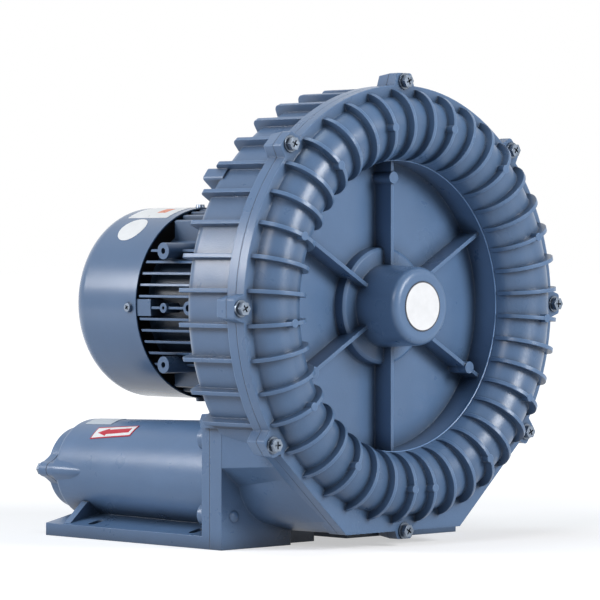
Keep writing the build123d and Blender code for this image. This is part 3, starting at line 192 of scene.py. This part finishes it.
def surface(tree, shader, tone, roughness, metal=0.0):
    """Sets colour, metal share and roughness; the roughness is a number or a node's output."""
    tree.links.new(tone, shader.inputs["Base Color"])
    if isinstance(roughness, float):
        shader.inputs["Roughness"].default_value = roughness
    else:
        tree.links.new(roughness, shader.inputs["Roughness"])
    shader.inputs["Metallic"].default_value = metal


def coat(shader, weight, roughness):
    shader.inputs["Coat Weight"].default_value = weight
    shader.inputs["Coat Roughness"].default_value = roughness


# ---- materials ----
def casting_paint(
    name, colour, grain_depth, edge_r, rough=(0.26, 0.38), coating=0.12, dust_share=0.16, shade_reach=0.02
):
    """Paint on a casting: cloudy and dusty, paler on its edges from edge wear and a painted highlight, and
    darker in its corners from painted shade.
    """
    material, tree, shader = new_material(name)
    where = place(tree)
    cloud = noise(tree, where, CLOUD_SCALE, detail=4.0)
    tone = two_tones(tree, cloud, colour, *CLOUD_SHADES)
    dust = noise(tree, where, DUST_SCALE, detail=6.0, rough=0.65)
    dusty = spread(tree, dust, 0.0, dust_share, *DUST_SPAN)
    tone = blend_colours(tree, dusty, tone, shade(colour, DUST_SHADE))
    rounded = soft_edges(tree, edge_r)
    # paler edges: edge wear and a painted highlight along each edge
    tone = blend_colours(tree, edge_wear_and_highlight_mask(tree, rounded), tone, shade(colour, EDGE_WEAR_AND_HIGHLIGHT))
    # painted shade: darker in corners and between close walls
    tone = blend_colours(tree, painted_crevice_shade(tree, shade_reach), tone, shade(colour, CREVICE_SHADE))
    patch = noise(tree, where, PATCH_SCALE, detail=4.0)
    surface(tree, shader, tone, spread(tree, patch, *rough))
    shader.inputs["Specular IOR Level"].default_value = PAINT_SPECULAR
    coat(shader, coating, PAINT_COAT_ROUGH)
    grain = noise(tree, where, GRAIN_SCALE, rough=0.6)
    bump(tree, shader, grain, grain_depth, rounded)
    return material


def screw_metal(name, colour):
    material, tree, shader = new_material(name)
    where = place(tree)
    cloud = noise(tree, where, scale=160.0, detail=4.0)
    tone = two_tones(tree, cloud, colour, low=0.86, high=1.08)
    # painted shade in the screws' recesses and corners
    tone = blend_colours(tree, painted_crevice_shade(tree, reach=0.003), tone, shade(colour, 0.15))
    surface(tree, shader, tone, spread(tree, cloud, low=0.24, high=0.42), metal=1.0)
    marks = noise(tree, where, scale=700.0, detail=2.0)
    bump(tree, shader, marks, 0.00006, soft_edges(tree, FINE_EDGE))
    return material


def turned_steel(name, colour):
    material, tree, shader = new_material(name)
    lines = noise(tree, place(tree), scale=90.0, detail=5.0, rough=0.6, stretch=(0.3, 30.0, 0.3))
    tone = two_tones(tree, lines, colour, low=0.88, high=1.06)
    surface(tree, shader, tone, spread(tree, lines, low=0.2, high=0.34), metal=1.0)
    bump(tree, shader, lines, 0.00004, soft_edges(tree, FINE_EDGE))
    return material


def plain_moulding(name, colour, rough, grain=320.0, depth=0.00008, metal=0.0):
    material, tree, shader = new_material(name)
    where = place(tree)
    cloud = noise(tree, where, scale=45.0, detail=4.0)
    tone = two_tones(tree, cloud, colour, low=0.9, high=1.1)
    surface(tree, shader, tone, spread(tree, cloud, *rough), metal)
    skin = noise(tree, where, grain, rough=0.6)
    bump(tree, shader, skin, depth, soft_edges(tree, FINE_EDGE))
    return material


def foam(name, colour):
    material, tree, shader = new_material(name)
    cells = tree.nodes.new("ShaderNodeTexVoronoi")
    cells.inputs["Scale"].default_value = 420.0
    tree.links.new(place(tree), cells.inputs["Vector"])
    tone = two_tones(tree, cells.outputs["Distance"], colour, low=0.4, high=1.3, start=0.1, end=0.6)
    surface(tree, shader, tone, 0.95)
    bump(tree, shader, cells.outputs["Distance"], 0.0006)
    return material


def wound_wire(name, colour):
    material, tree, shader = new_material(name)
    strands = noise(tree, place(tree), scale=60.0, detail=4.0, rough=0.7, stretch=(18.0, 18.0, 2.0))
    tone = two_tones(tree, strands, colour, low=0.45, high=1.15)
    surface(tree, shader, tone, spread(tree, strands, low=0.3, high=0.5), metal=0.6)
    bump(tree, shader, strands, 0.0006)
    return material


def lamination(name, colour):
    material, tree, shader = new_material(name)
    sheets = noise(tree, place(tree), scale=25.0, rough=0.7, stretch=(0.2, 80.0, 0.2))
    tone = two_tones(tree, sheets, colour, low=0.6, high=1.1)
    surface(tree, shader, tone, spread(tree, sheets, low=0.35, high=0.6), metal=0.8)
    bump(tree, shader, sheets, 0.0002)
    return material


def printed_film(name, colour):
    material, tree, shader = new_material(name)
    where = place(tree)
    cloud = noise(tree, where, scale=90.0, detail=4.0)
    tone = two_tones(tree, cloud, colour, low=0.94, high=1.03)
    surface(tree, shader, tone, spread(tree, cloud, low=0.26, high=0.42))
    shader.inputs["Specular IOR Level"].default_value = 0.25
    coat(shader, 0.05, 0.15)
    bump(tree, shader, noise(tree, where, scale=260.0), 0.00003)
    return material


def badge_film(name, rim, face, middle, radius, blur=0.00015):
    """Pale disc with a thin dark rim, told apart by the distance from the shaft line."""
    material, tree, shader = new_material(name)
    where = place(tree)
    offset = vector_math(tree, "SUBTRACT", where, middle)
    flat = vector_math(tree, "MULTIPLY", offset, (1.0, 0.0, 1.0))
    distance = vector_math(tree, "LENGTH", flat)
    ring = spread(tree, distance, 0.0, 1.0, radius - blur, radius + blur)
    pale = two_tones(tree, noise(tree, where, scale=120.0), face, low=0.95, high=1.03)
    surface(tree, shader, blend_colours(tree, ring, pale, rim), 0.3)
    coat(shader, 0.5, 0.1)
    bump(tree, shader, noise(tree, where, scale=300.0), 0.00002, soft_edges(tree, FINE_EDGE))
    return material


cast = casting_paint("cast_paint", PAINT, 0.00016, 0.0016)
smooth_cast = casting_paint("machined_paint", PAINT, 0.00009, 0.0010)
# painted highlight: a paler copy of the paint for the raised line on the cover
highlight_line_cast = casting_paint("highlight_line_paint", shade(PAINT, 1.9), 0.00009, FINE_EDGE)
# painted shade: a darker copy of the paint, with corner shade reaching deep between the motor's fins
shaded_motor_cast = casting_paint("shaded_motor_paint", shade(PAINT, 0.85), 0.00012, 0.0010, shade_reach=0.07)
sheet_paint = casting_paint("sheet_paint", shade(PAINT, 0.92), 0.00002, 0.0006, (0.20, 0.26), 0.25, 0.05)
zinc = screw_metal("zinc_plate", ZINC)
steel = turned_steel("ground_steel", (0.6, 0.61, 0.62))
brass = turned_steel("plain_brass", (0.78, 0.56, 0.27))
bare_aluminium = plain_moulding("cast_aluminium", (0.68, 0.69, 0.7), (0.35, 0.5), 500.0, 0.00012, 1.0)
gasket_sheet = plain_moulding("gasket_sheet", (0.03, 0.03, 0.032), (0.7, 0.85), 900.0, 0.00006)
seal_rubber = plain_moulding("seal_rubber", (0.025, 0.022, 0.022), (0.45, 0.6))
black_nylon = plain_moulding("black_nylon", (0.02, 0.02, 0.022), (0.4, 0.55))
grey_nylon = plain_moulding("grey_nylon", (0.12, 0.125, 0.13), (0.4, 0.55))
board = plain_moulding("board_compound", (0.09, 0.045, 0.03), (0.4, 0.55))
foam_grey = foam("open_foam", (0.06, 0.06, 0.065))
copper = wound_wire("winding_wire", (0.5, 0.2, 0.08))
iron = lamination("lamination_stack", (0.2, 0.2, 0.21))
badge = badge_film("badge_film", (0.02, 0.025, 0.04), (0.74, 0.75, 0.77), (0.0, 0.0, AXIS_Z), 0.0232)
white = printed_film("label_white", (0.78, 0.79, 0.8))
red = printed_film("label_red", (0.50, 0.010, 0.035))
orange = printed_film("label_orange", (0.72, 0.17, 0.06))
grey = printed_film("label_grey", (0.50, 0.56, 0.62))


def assign(names, material):
    for name in names:
        materials = nodes[name].data.materials
        materials.clear()
        materials.append(material)


assign(["front_cover", "rear_casing"], cast)
assign(["motor_frame", "rear_end_shield"], shaded_motor_cast)
assign(["left_silencer_body", "right_silencer_body", "left_port_flange", "right_port_flange"], smooth_cast)
assign(["terminal_box", "terminal_box_lid"], smooth_cast)
assign(["fan_cowl"], sheet_paint)
assign(["hub_badge"], badge)
assign(["casing_gasket", "left_silencer_gasket", "right_silencer_gasket"], gasket_sheet)
assign(["port_gaskets", "terminal_box_gasket"], gasket_sheet)
assign(["casing_bolts", "silencer_bolts", "port_bolts", "motor_mount_bolts", "end_shield_bolts"], zinc)
assign(["casing_bolt_washers", "cowl_screws", "terminal_lid_screws", "lock_washer", "shaft_nut"], zinc)
assign(["foam_liners"], foam_grey)
assign(["perforated_tubes", "shaft", "impeller_key", "impeller_spacer", "wave_washer", "fan_circlip"], steel)
assign(["front_outer_race", "front_inner_race", "front_ball_set"], steel)
assign(["rear_outer_race", "rear_inner_race", "rear_ball_set"], steel)
assign(["impeller", "rotor_end_rings"], bare_aluminium)
assign(["front_shaft_seal", "rear_shaft_seal"], seal_rubber)
assign(["rotor_core", "stator_core"], iron)
assign(["stator_windings"], copper)
assign(["cooling_fan"], black_nylon)
assign(["cable_gland"], grey_nylon)
assign(["terminal_board"], board)
assign(["terminal_studs"], brass)


# ---- pieces that the scene adds; each rides on the housing ----
def add_piece(name, mesh, material):
    mesh.materials.append(material)
    piece = bpy.data.objects.new(name, mesh)
    bpy.context.scene.collection.objects.link(piece)
    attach(piece, "housing")
    return piece


# ---- labels, bent round the tube and the cowl ----
def tube_radius(y):
    share = (y - SEAM_Y - TUBE_FRONT[0]) / (TUBE_REAR[0] - TUBE_FRONT[0])
    return TUBE_FRONT[1] + (TUBE_REAR[1] - TUBE_FRONT[1]) * share


def cowl_radius(y):
    return COWL_R


def on_tube(back, degrees):
    return (TUBE_X, SEAM_Y + back, TUBE_Z, math.radians(degrees))


def on_cowl(back, degrees):
    return (0.0, SEAM_Y + back, AXIS_Z, math.radians(degrees))


def rectangle(length, width, slant=0.0):
    a, b = length / 2, width / 2
    return [(-a, -b - slant), (a, -b + slant), (a, b + slant), (-a, b - slant)]


def disc(radius, count=48):
    turn = 2 * math.pi / count
    return [(radius * math.cos(k * turn), radius * math.sin(k * turn)) for k in range(count)]


def arrow(length, half, head, head_half, slant):
    a = length / 2
    points = [(-a, -half), (a - head, -half), (a - head, -head_half), (a, 0.0)]
    points += [(a - head, head_half), (a - head, half), (-a, half)]
    return [(u, v + slant * u / a) for u, v in points]


def cut_in_strips(bm, outline, axis, count):
    """Cuts a flat film into count strips along one axis, so that it can bend."""
    low = min(p[axis] for p in outline)
    high = max(p[axis] for p in outline)
    for k in range(1, count):
        point = [0.0, 0.0, 0.0]
        normal = [0.0, 0.0, 0.0]
        point[axis] = low + (high - low) * k / count
        normal[axis] = 1.0
        geometry = bm.verts[:] + bm.edges[:] + bm.faces[:]
        bmesh.ops.bisect_plane(bm, geom=geometry, plane_co=point, plane_no=normal)


def bent_film(name, outline, middle, radius_of, lift, depth, material, steps):
    """Closed thin film over a round body. outline is a closed loop of (length, arc) in metres and
    steps says how finely it is divided; middle is (x, y, z, angle) of the film's centre. Its top
    stands lift above the body, and depth is its thickness."""
    cx, cy, cz, angle = middle
    mesh = bpy.data.meshes.new(name)
    bm = bmesh.new()
    bm.faces.new([bm.verts.new((u, v, 0.0)) for u, v in outline])
    for axis in (0, 1):
        cut_in_strips(bm, outline, axis, steps[axis])
    made = bmesh.ops.extrude_face_region(bm, geom=bm.faces[:])
    for v in made["geom"]:
        if isinstance(v, bmesh.types.BMVert):
            v.co.z = 1.0
    for v in bm.verts:
        y = cy + v.co.x
        radius = radius_of(y)
        turn = angle + v.co.y / radius
        out = radius + lift - depth * (1.0 - v.co.z)
        v.co = Vector((cx + out * math.cos(turn), y, cz + out * math.sin(turn)))
    bmesh.ops.recalc_face_normals(bm, faces=bm.faces[:])
    bm.to_mesh(mesh)
    bm.free()
    return add_piece(name, mesh, material)


# films of one label lie over each other, each a little higher than the one below
LOW_LIFT = 0.00018
LABEL_LIFT = 0.0002
MIDDLE_LIFT = 0.00026
TOP_LIFT = 0.00034
FLOW_SLANT = 0.0026


def flow_label():
    """White label with a red edge and a red flow arrow, aslant on the silencer tube."""
    middle = on_tube(0.274, 128.8)
    edge = rectangle(length=0.058, width=0.0165, slant=FLOW_SLANT)
    field = rectangle(length=0.0552, width=0.0138, slant=FLOW_SLANT)
    sign = arrow(length=0.046, half=0.0033, head=0.014, head_half=0.0056, slant=FLOW_SLANT)
    layers = (
        ("flow_label_edge", edge, LOW_LIFT, 0.0005, red),
        ("flow_label_field", field, MIDDLE_LIFT, 0.0004, white),
        ("flow_label_arrow", sign, TOP_LIFT, 0.0003, red),
    )
    for name, outline, lift, depth, material in layers:
        bent_film(name, outline, middle, tube_radius, lift, depth, material, (4, 10))


def tube_label():
    outline = rectangle(length=0.040, width=0.022)
    bent_film("tube_label", outline, on_tube(0.3115, 103.0), tube_radius, LABEL_LIFT, 0.0005, grey, (4, 12))


def cowl_labels():
    """Round label, bare rating plate and the orange stripe on the plate."""
    round_label = disc(0.0174)
    plate = rectangle(length=0.060, width=0.066)
    stripe = rectangle(length=0.013, width=0.015)
    layers = (
        ("cowl_round_label", round_label, on_cowl(0.319, 129.0), LABEL_LIFT, 0.0006, white, (8, 12)),
        ("cowl_plate", plate, on_cowl(0.315, 98.0), MIDDLE_LIFT, 0.0006, white, (4, 24)),
        ("cowl_plate_stripe", stripe, on_cowl(0.307, 105.0), TOP_LIFT, 0.0004, orange, (4, 10)),
    )
    for name, outline, middle, lift, depth, material, steps in layers:
        bent_film(name, outline, middle, cowl_radius, lift, depth, material, steps)


flow_label()
tube_label()
cowl_labels()


# ---- lofted pieces ----
def loft_loops(name, loops, material, ring=False):
    """Closed skins through loops of points; each entry of loops is a list of loops of equal length.
    A ring joins its last loop to its first, and other skins get caps."""
    verts = []
    faces = []
    for rings in loops:
        start = len(verts)
        size = len(rings[0])
        for loop in rings:
            verts += loop
        if not ring:
            faces.append([start + k for k in range(size)])
            faces.append([start + (len(rings) - 1) * size + k for k in reversed(range(size))])
        for i in range(len(rings) if ring else len(rings) - 1):
            for k in range(size):
                low = start + i * size
                high = start + (i + 1) % len(rings) * size
                after = (k + 1) % size
                faces.append([low + k, high + k, high + after, low + after])
    mesh = bpy.data.meshes.new(name)
    mesh.from_pydata(verts, [], faces)
    mesh.validate()
    bm = bmesh.new()
    bm.from_mesh(mesh)
    bmesh.ops.recalc_face_normals(bm, faces=bm.faces[:])
    bm.to_mesh(mesh)
    bm.free()
    mesh.polygons.foreach_set("use_smooth", [True] * len(mesh.polygons))
    mesh.set_sharp_from_angle(angle=math.radians(40))
    return add_piece(name, mesh, material)


# ---- fairings between the tube ends and the ears of the port flanges ----
EAR_AT = 0.048
EAR_R = 0.008
EAR_SKIN = 0.0001
HUB_R = 0.042
HUB_SUNK = 0.0005
NECK_T = 0.005
PORT_T = 0.012
GASKET_T = 0.001
RISE_WAIST = 0.001
NECK_WAIST = 0.0035
# the last skin stops this far before the flange's face, so that no two faces share a place
SET_BACK = 0.0003
TUBE_END = TUBE_REAR[0]
PORT_Y = TUBE_END + NECK_T + GASKET_T
# levels of the skins: distance behind the seam, hub radius and the ear's distance from the hub
RISE = [
    (TUBE_END - 0.046, 0.0500, EAR_AT - 0.0050),
    (TUBE_END - 0.036, 0.0497, EAR_AT - 0.0026),
    (TUBE_END - 0.024, 0.0490, EAR_AT - 0.0010),
    (TUBE_END - 0.002, 0.0475, EAR_AT),
]
NECK = [(TUBE_END - 0.002, HUB_R - HUB_SUNK, EAR_AT), (TUBE_END + NECK_T, HUB_R - HUB_SUNK, EAR_AT)]
PLATE_END = [(PORT_Y, HUB_R - HUB_SUNK, EAR_AT), (PORT_Y + PORT_T - SET_BACK, HUB_R - HUB_SUNK, EAR_AT)]


def arc(middle, radius, start, end, steps):
    """Points from the angle start to the angle end, round a middle on the first axis."""
    turns = [start + (end - start) * k / steps for k in range(steps + 1)]
    return [(middle + radius * math.cos(turn), radius * math.sin(turn)) for turn in turns]


def ear_outline(hub_r, ear_at, ear_r, waist, steps=10):
    """Closed loop round one ear: hub circle and ear circle joined by flanks drawn in by waist."""
    lean = math.acos((hub_r - ear_r) / ear_at)
    hub_end = Vector((hub_r * math.cos(lean), hub_r * math.sin(lean)))
    ear_end = Vector((ear_at + ear_r * math.cos(lean), ear_r * math.sin(lean)))
    pull = (hub_end + ear_end) / 2 - 2 * waist * Vector((math.cos(lean), math.sin(lean)))
    flank = []
    for k in range(1, steps):
        t = k / steps
        flank.append((1 - t) ** 2 * hub_end + 2 * t * (1 - t) * pull + t * t * ear_end)
    points = [(p.x, p.y) for p in flank]
    points += arc(ear_at, ear_r, lean, -lean, steps)
    points += [(p.x, -p.y) for p in reversed(flank)]
    points += arc(0.0, hub_r, -lean, lean, steps)
    return points


def ear_fairings():
    loops = []
    for tube in (-1, 1):
        for ear in (-1, 1):
            for levels, waist in ((RISE, RISE_WAIST), (NECK, NECK_WAIST), (PLATE_END, NECK_WAIST)):
                rings = []
                for y, hub_r, ear_at in levels:
                    outline = ear_outline(hub_r, ear_at, EAR_R + EAR_SKIN, waist)
                    rings.append([(-tube * TUBE_X + ear * u, SEAM_Y + y, TUBE_Z + v) for u, v in outline])
                loops.append(rings)
    return loops


loft_loops("port_ear_fairings", ear_fairings(), smooth_cast)

# ---- domed ends of the lower silencer bolts, on the front of the foot flange ----
# distance from the middle plane, distance behind the seam, height
BOLT_END = (0.1485, 0.0743, 0.032)
DOME_R = 0.0058
DOME_H = 0.0026
DOME_SIDES = 32
# levels of the dome as shares of its height; the first is sunk into the flange
DOME_LEVELS = (-0.4, 0.0, 0.35, 0.65, 0.85, 0.96, 0.995)


def dome_rings():
    turn = 2 * math.pi / DOME_SIDES
    loops = []
    for side in (-1, 1):
        rings = []
        for share in DOME_LEVELS:
            radius = DOME_R * math.sqrt(1 - max(share, 0.0) ** 2)
            y = SEAM_Y + BOLT_END[1] - DOME_H * share
            ring = []
            for k in range(DOME_SIDES):
                x = side * BOLT_END[0] + radius * math.cos(k * turn)
                ring.append((x, y, BOLT_END[2] + radius * math.sin(k * turn)))
            rings.append(ring)
        loops.append(rings)
    return loops


loft_loops("silencer_bolt_ends", dome_rings(), cast)

# ---- raised line where the cover's fins run out into its inner wall, in a paler paint as a painted highlight ----
LINE_R = 0.1432
LINE_Y = -0.0013
LINE_T = 0.0008


def line_rings(steps=240, sides=8):
    rings = []
    for i in range(steps):
        turn = 2 * math.pi * i / steps
        ring = []
        for k in range(sides):
            roll = 2 * math.pi * k / sides
            radius = LINE_R + LINE_T * math.cos(roll)
            y = SEAM_Y + LINE_Y + LINE_T * math.sin(roll)
            ring.append((radius * math.cos(turn), y, AXIS_Z + radius * math.sin(turn)))
        rings.append(ring)
    return [rings]


loft_loops("cover_inner_line", line_rings(), highlight_line_cast, ring=True)


# ---- floor and background ----
def seen_directly(tree):
    """1 for camera, glossy and transmission rays, 0 for the light that falls on things."""
    path = tree.nodes.new("ShaderNodeLightPath")
    total = path.outputs["Is Camera Ray"]
    for ray in ("Is Glossy Ray", "Is Transmission Ray"):
        both = tree.nodes.new("ShaderNodeMath")
        both.operation = "MAXIMUM"
        tree.links.new(total, both.inputs[0])
        tree.links.new(path.outputs[ray], both.inputs[1])
        total = both.outputs[0]
    return total


def floor_material(name, colour, near_fill, far_fill, near, far):
    """Pale floor that keeps the shadow near the object and fades to white away from it."""
    material = bpy.data.materials.new(name)
    material.use_nodes = True
    tree = material.node_tree
    tree.nodes.clear()
    out = tree.nodes.new("ShaderNodeOutputMaterial")
    ground = tree.nodes.new("ShaderNodeBsdfDiffuse")
    ground.inputs["Color"].default_value = (*colour, 1)
    distance = vector_math(tree, "LENGTH", place(tree))
    fill = spread(tree, distance, near_fill, far_fill, near, far)
    strength = tree.nodes.new("ShaderNodeMath")
    strength.operation = "MULTIPLY"
    tree.links.new(fill, strength.inputs[0])
    tree.links.new(seen_directly(tree), strength.inputs[1])
    glow = tree.nodes.new("ShaderNodeEmission")
    glow.inputs["Color"].default_value = (1, 1, 1, 1)
    tree.links.new(strength.outputs[0], glow.inputs["Strength"])
    both = tree.nodes.new("ShaderNodeAddShader")
    tree.links.new(ground.outputs[0], both.inputs[0])
    tree.links.new(glow.outputs[0], both.inputs[1])
    tree.links.new(both.outputs[0], out.inputs["Surface"])
    return material


FLOOR_REACH = 30.0
FLOOR_DROP = 0.0002
FLOOR_COLOUR = (0.6, 0.6, 0.61)


def add_floor():
    r = FLOOR_REACH
    mesh = bpy.data.meshes.new("floor")
    mesh.from_pydata([(-r, -r, 0), (r, -r, 0), (r, r, 0), (-r, r, 0)], [], [(0, 1, 2, 3)])
    pale = floor_material("floor_pale", FLOOR_COLOUR, near_fill=0.50, far_fill=1.0, near=0.45, far=1.7)
    mesh.materials.append(pale)
    floor = bpy.data.objects.new("floor", mesh)
    bpy.context.scene.collection.objects.link(floor)
    floor.location = (0, 0, -FLOOR_DROP)


SKY = (0.88, 0.94, 1.0)
SKY_STRENGTH = 0.12


def background(tree, colour, strength):
    node = tree.nodes.new("ShaderNodeBackground")
    node.inputs["Color"].default_value = (*colour, 1)
    node.inputs["Strength"].default_value = strength
    return node.outputs[0]


def add_world():
    """White where it is seen, and a faint bluish sky where it lights things."""
    world = bpy.data.worlds.new("studio")
    bpy.context.scene.world = world
    world.use_nodes = True
    tree = world.node_tree
    tree.nodes.clear()
    out = tree.nodes.new("ShaderNodeOutputWorld")
    mix = tree.nodes.new("ShaderNodeMixShader")
    tree.links.new(seen_directly(tree), mix.inputs["Fac"])
    tree.links.new(background(tree, SKY, SKY_STRENGTH), mix.inputs[1])
    tree.links.new(background(tree, (1, 1, 1), 1.0), mix.inputs[2])
    tree.links.new(mix.outputs[0], out.inputs["Surface"])


add_floor()
add_world()

# ---- lamps, each aimed at the middle of the machine ----
AIM = (0.0, -0.1, 0.25)


def soft_box(name, at, size, power, colour):
    light = bpy.data.lights.new(name, "AREA")
    light.shape = "RECTANGLE"
    light.size, light.size_y = size
    light.energy = power
    light.color = colour
    lamp = bpy.data.objects.new(name, light)
    bpy.context.scene.collection.objects.link(lamp)
    lamp.location = at
    direction = Vector(AIM) - Vector(at)
    lamp.rotation_euler = direction.to_track_quat("-Z", "Y").to_euler()


soft_box("front", at=(0.7, -2.6, 1.2), size=(1.0, 1.0), power=66.0, colour=(1.0, 1.0, 1.0))
soft_box("left_front", at=(-2.3, -0.9, 1.5), size=(0.8, 1.0), power=18.0, colour=(1.0, 0.98, 1.0))
soft_box("left_back", at=(-2.0, 1.5, 1.1), size=(1.2, 0.7), power=42.0, colour=(1.0, 0.99, 1.0))
soft_box("top", at=(-0.4, 0.1, 2.5), size=(1.2, 1.2), power=18.0, colour=(0.80, 0.92, 1.0))

# ---- camera: the photograph's own view ----
CAMERA_TURN = math.radians(-44.3)
CAMERA_TILT = math.radians(0.8)
CAMERA_AT = (-2.46548, -2.39161 + SEAM_Y, AXIS_Z + 0.05383)
LENS_MM = 210.0
SENSOR_MM = 36.0
VIEW_REACH = 100.0


def add_camera():
    data = bpy.data.cameras.new("camera")
    data.sensor_width = SENSOR_MM
    data.lens = LENS_MM
    data.clip_end = VIEW_REACH
    camera = bpy.data.objects.new("camera", data)
    bpy.context.scene.collection.objects.link(camera)
    level = math.cos(CAMERA_TILT)
    back = Vector((math.sin(CAMERA_TURN) * level, -math.cos(CAMERA_TURN) * level, math.sin(CAMERA_TILT)))
    right = Vector((math.cos(CAMERA_TURN), math.sin(CAMERA_TURN), 0.0))
    up = back.cross(right)
    view = Matrix((right, up, back)).transposed().to_4x4()
    view.translation = Vector(CAMERA_AT)
    camera.matrix_world = view
    bpy.context.scene.camera = camera


add_camera()
bpy.context.scene.view_settings.view_transform = "Standard"
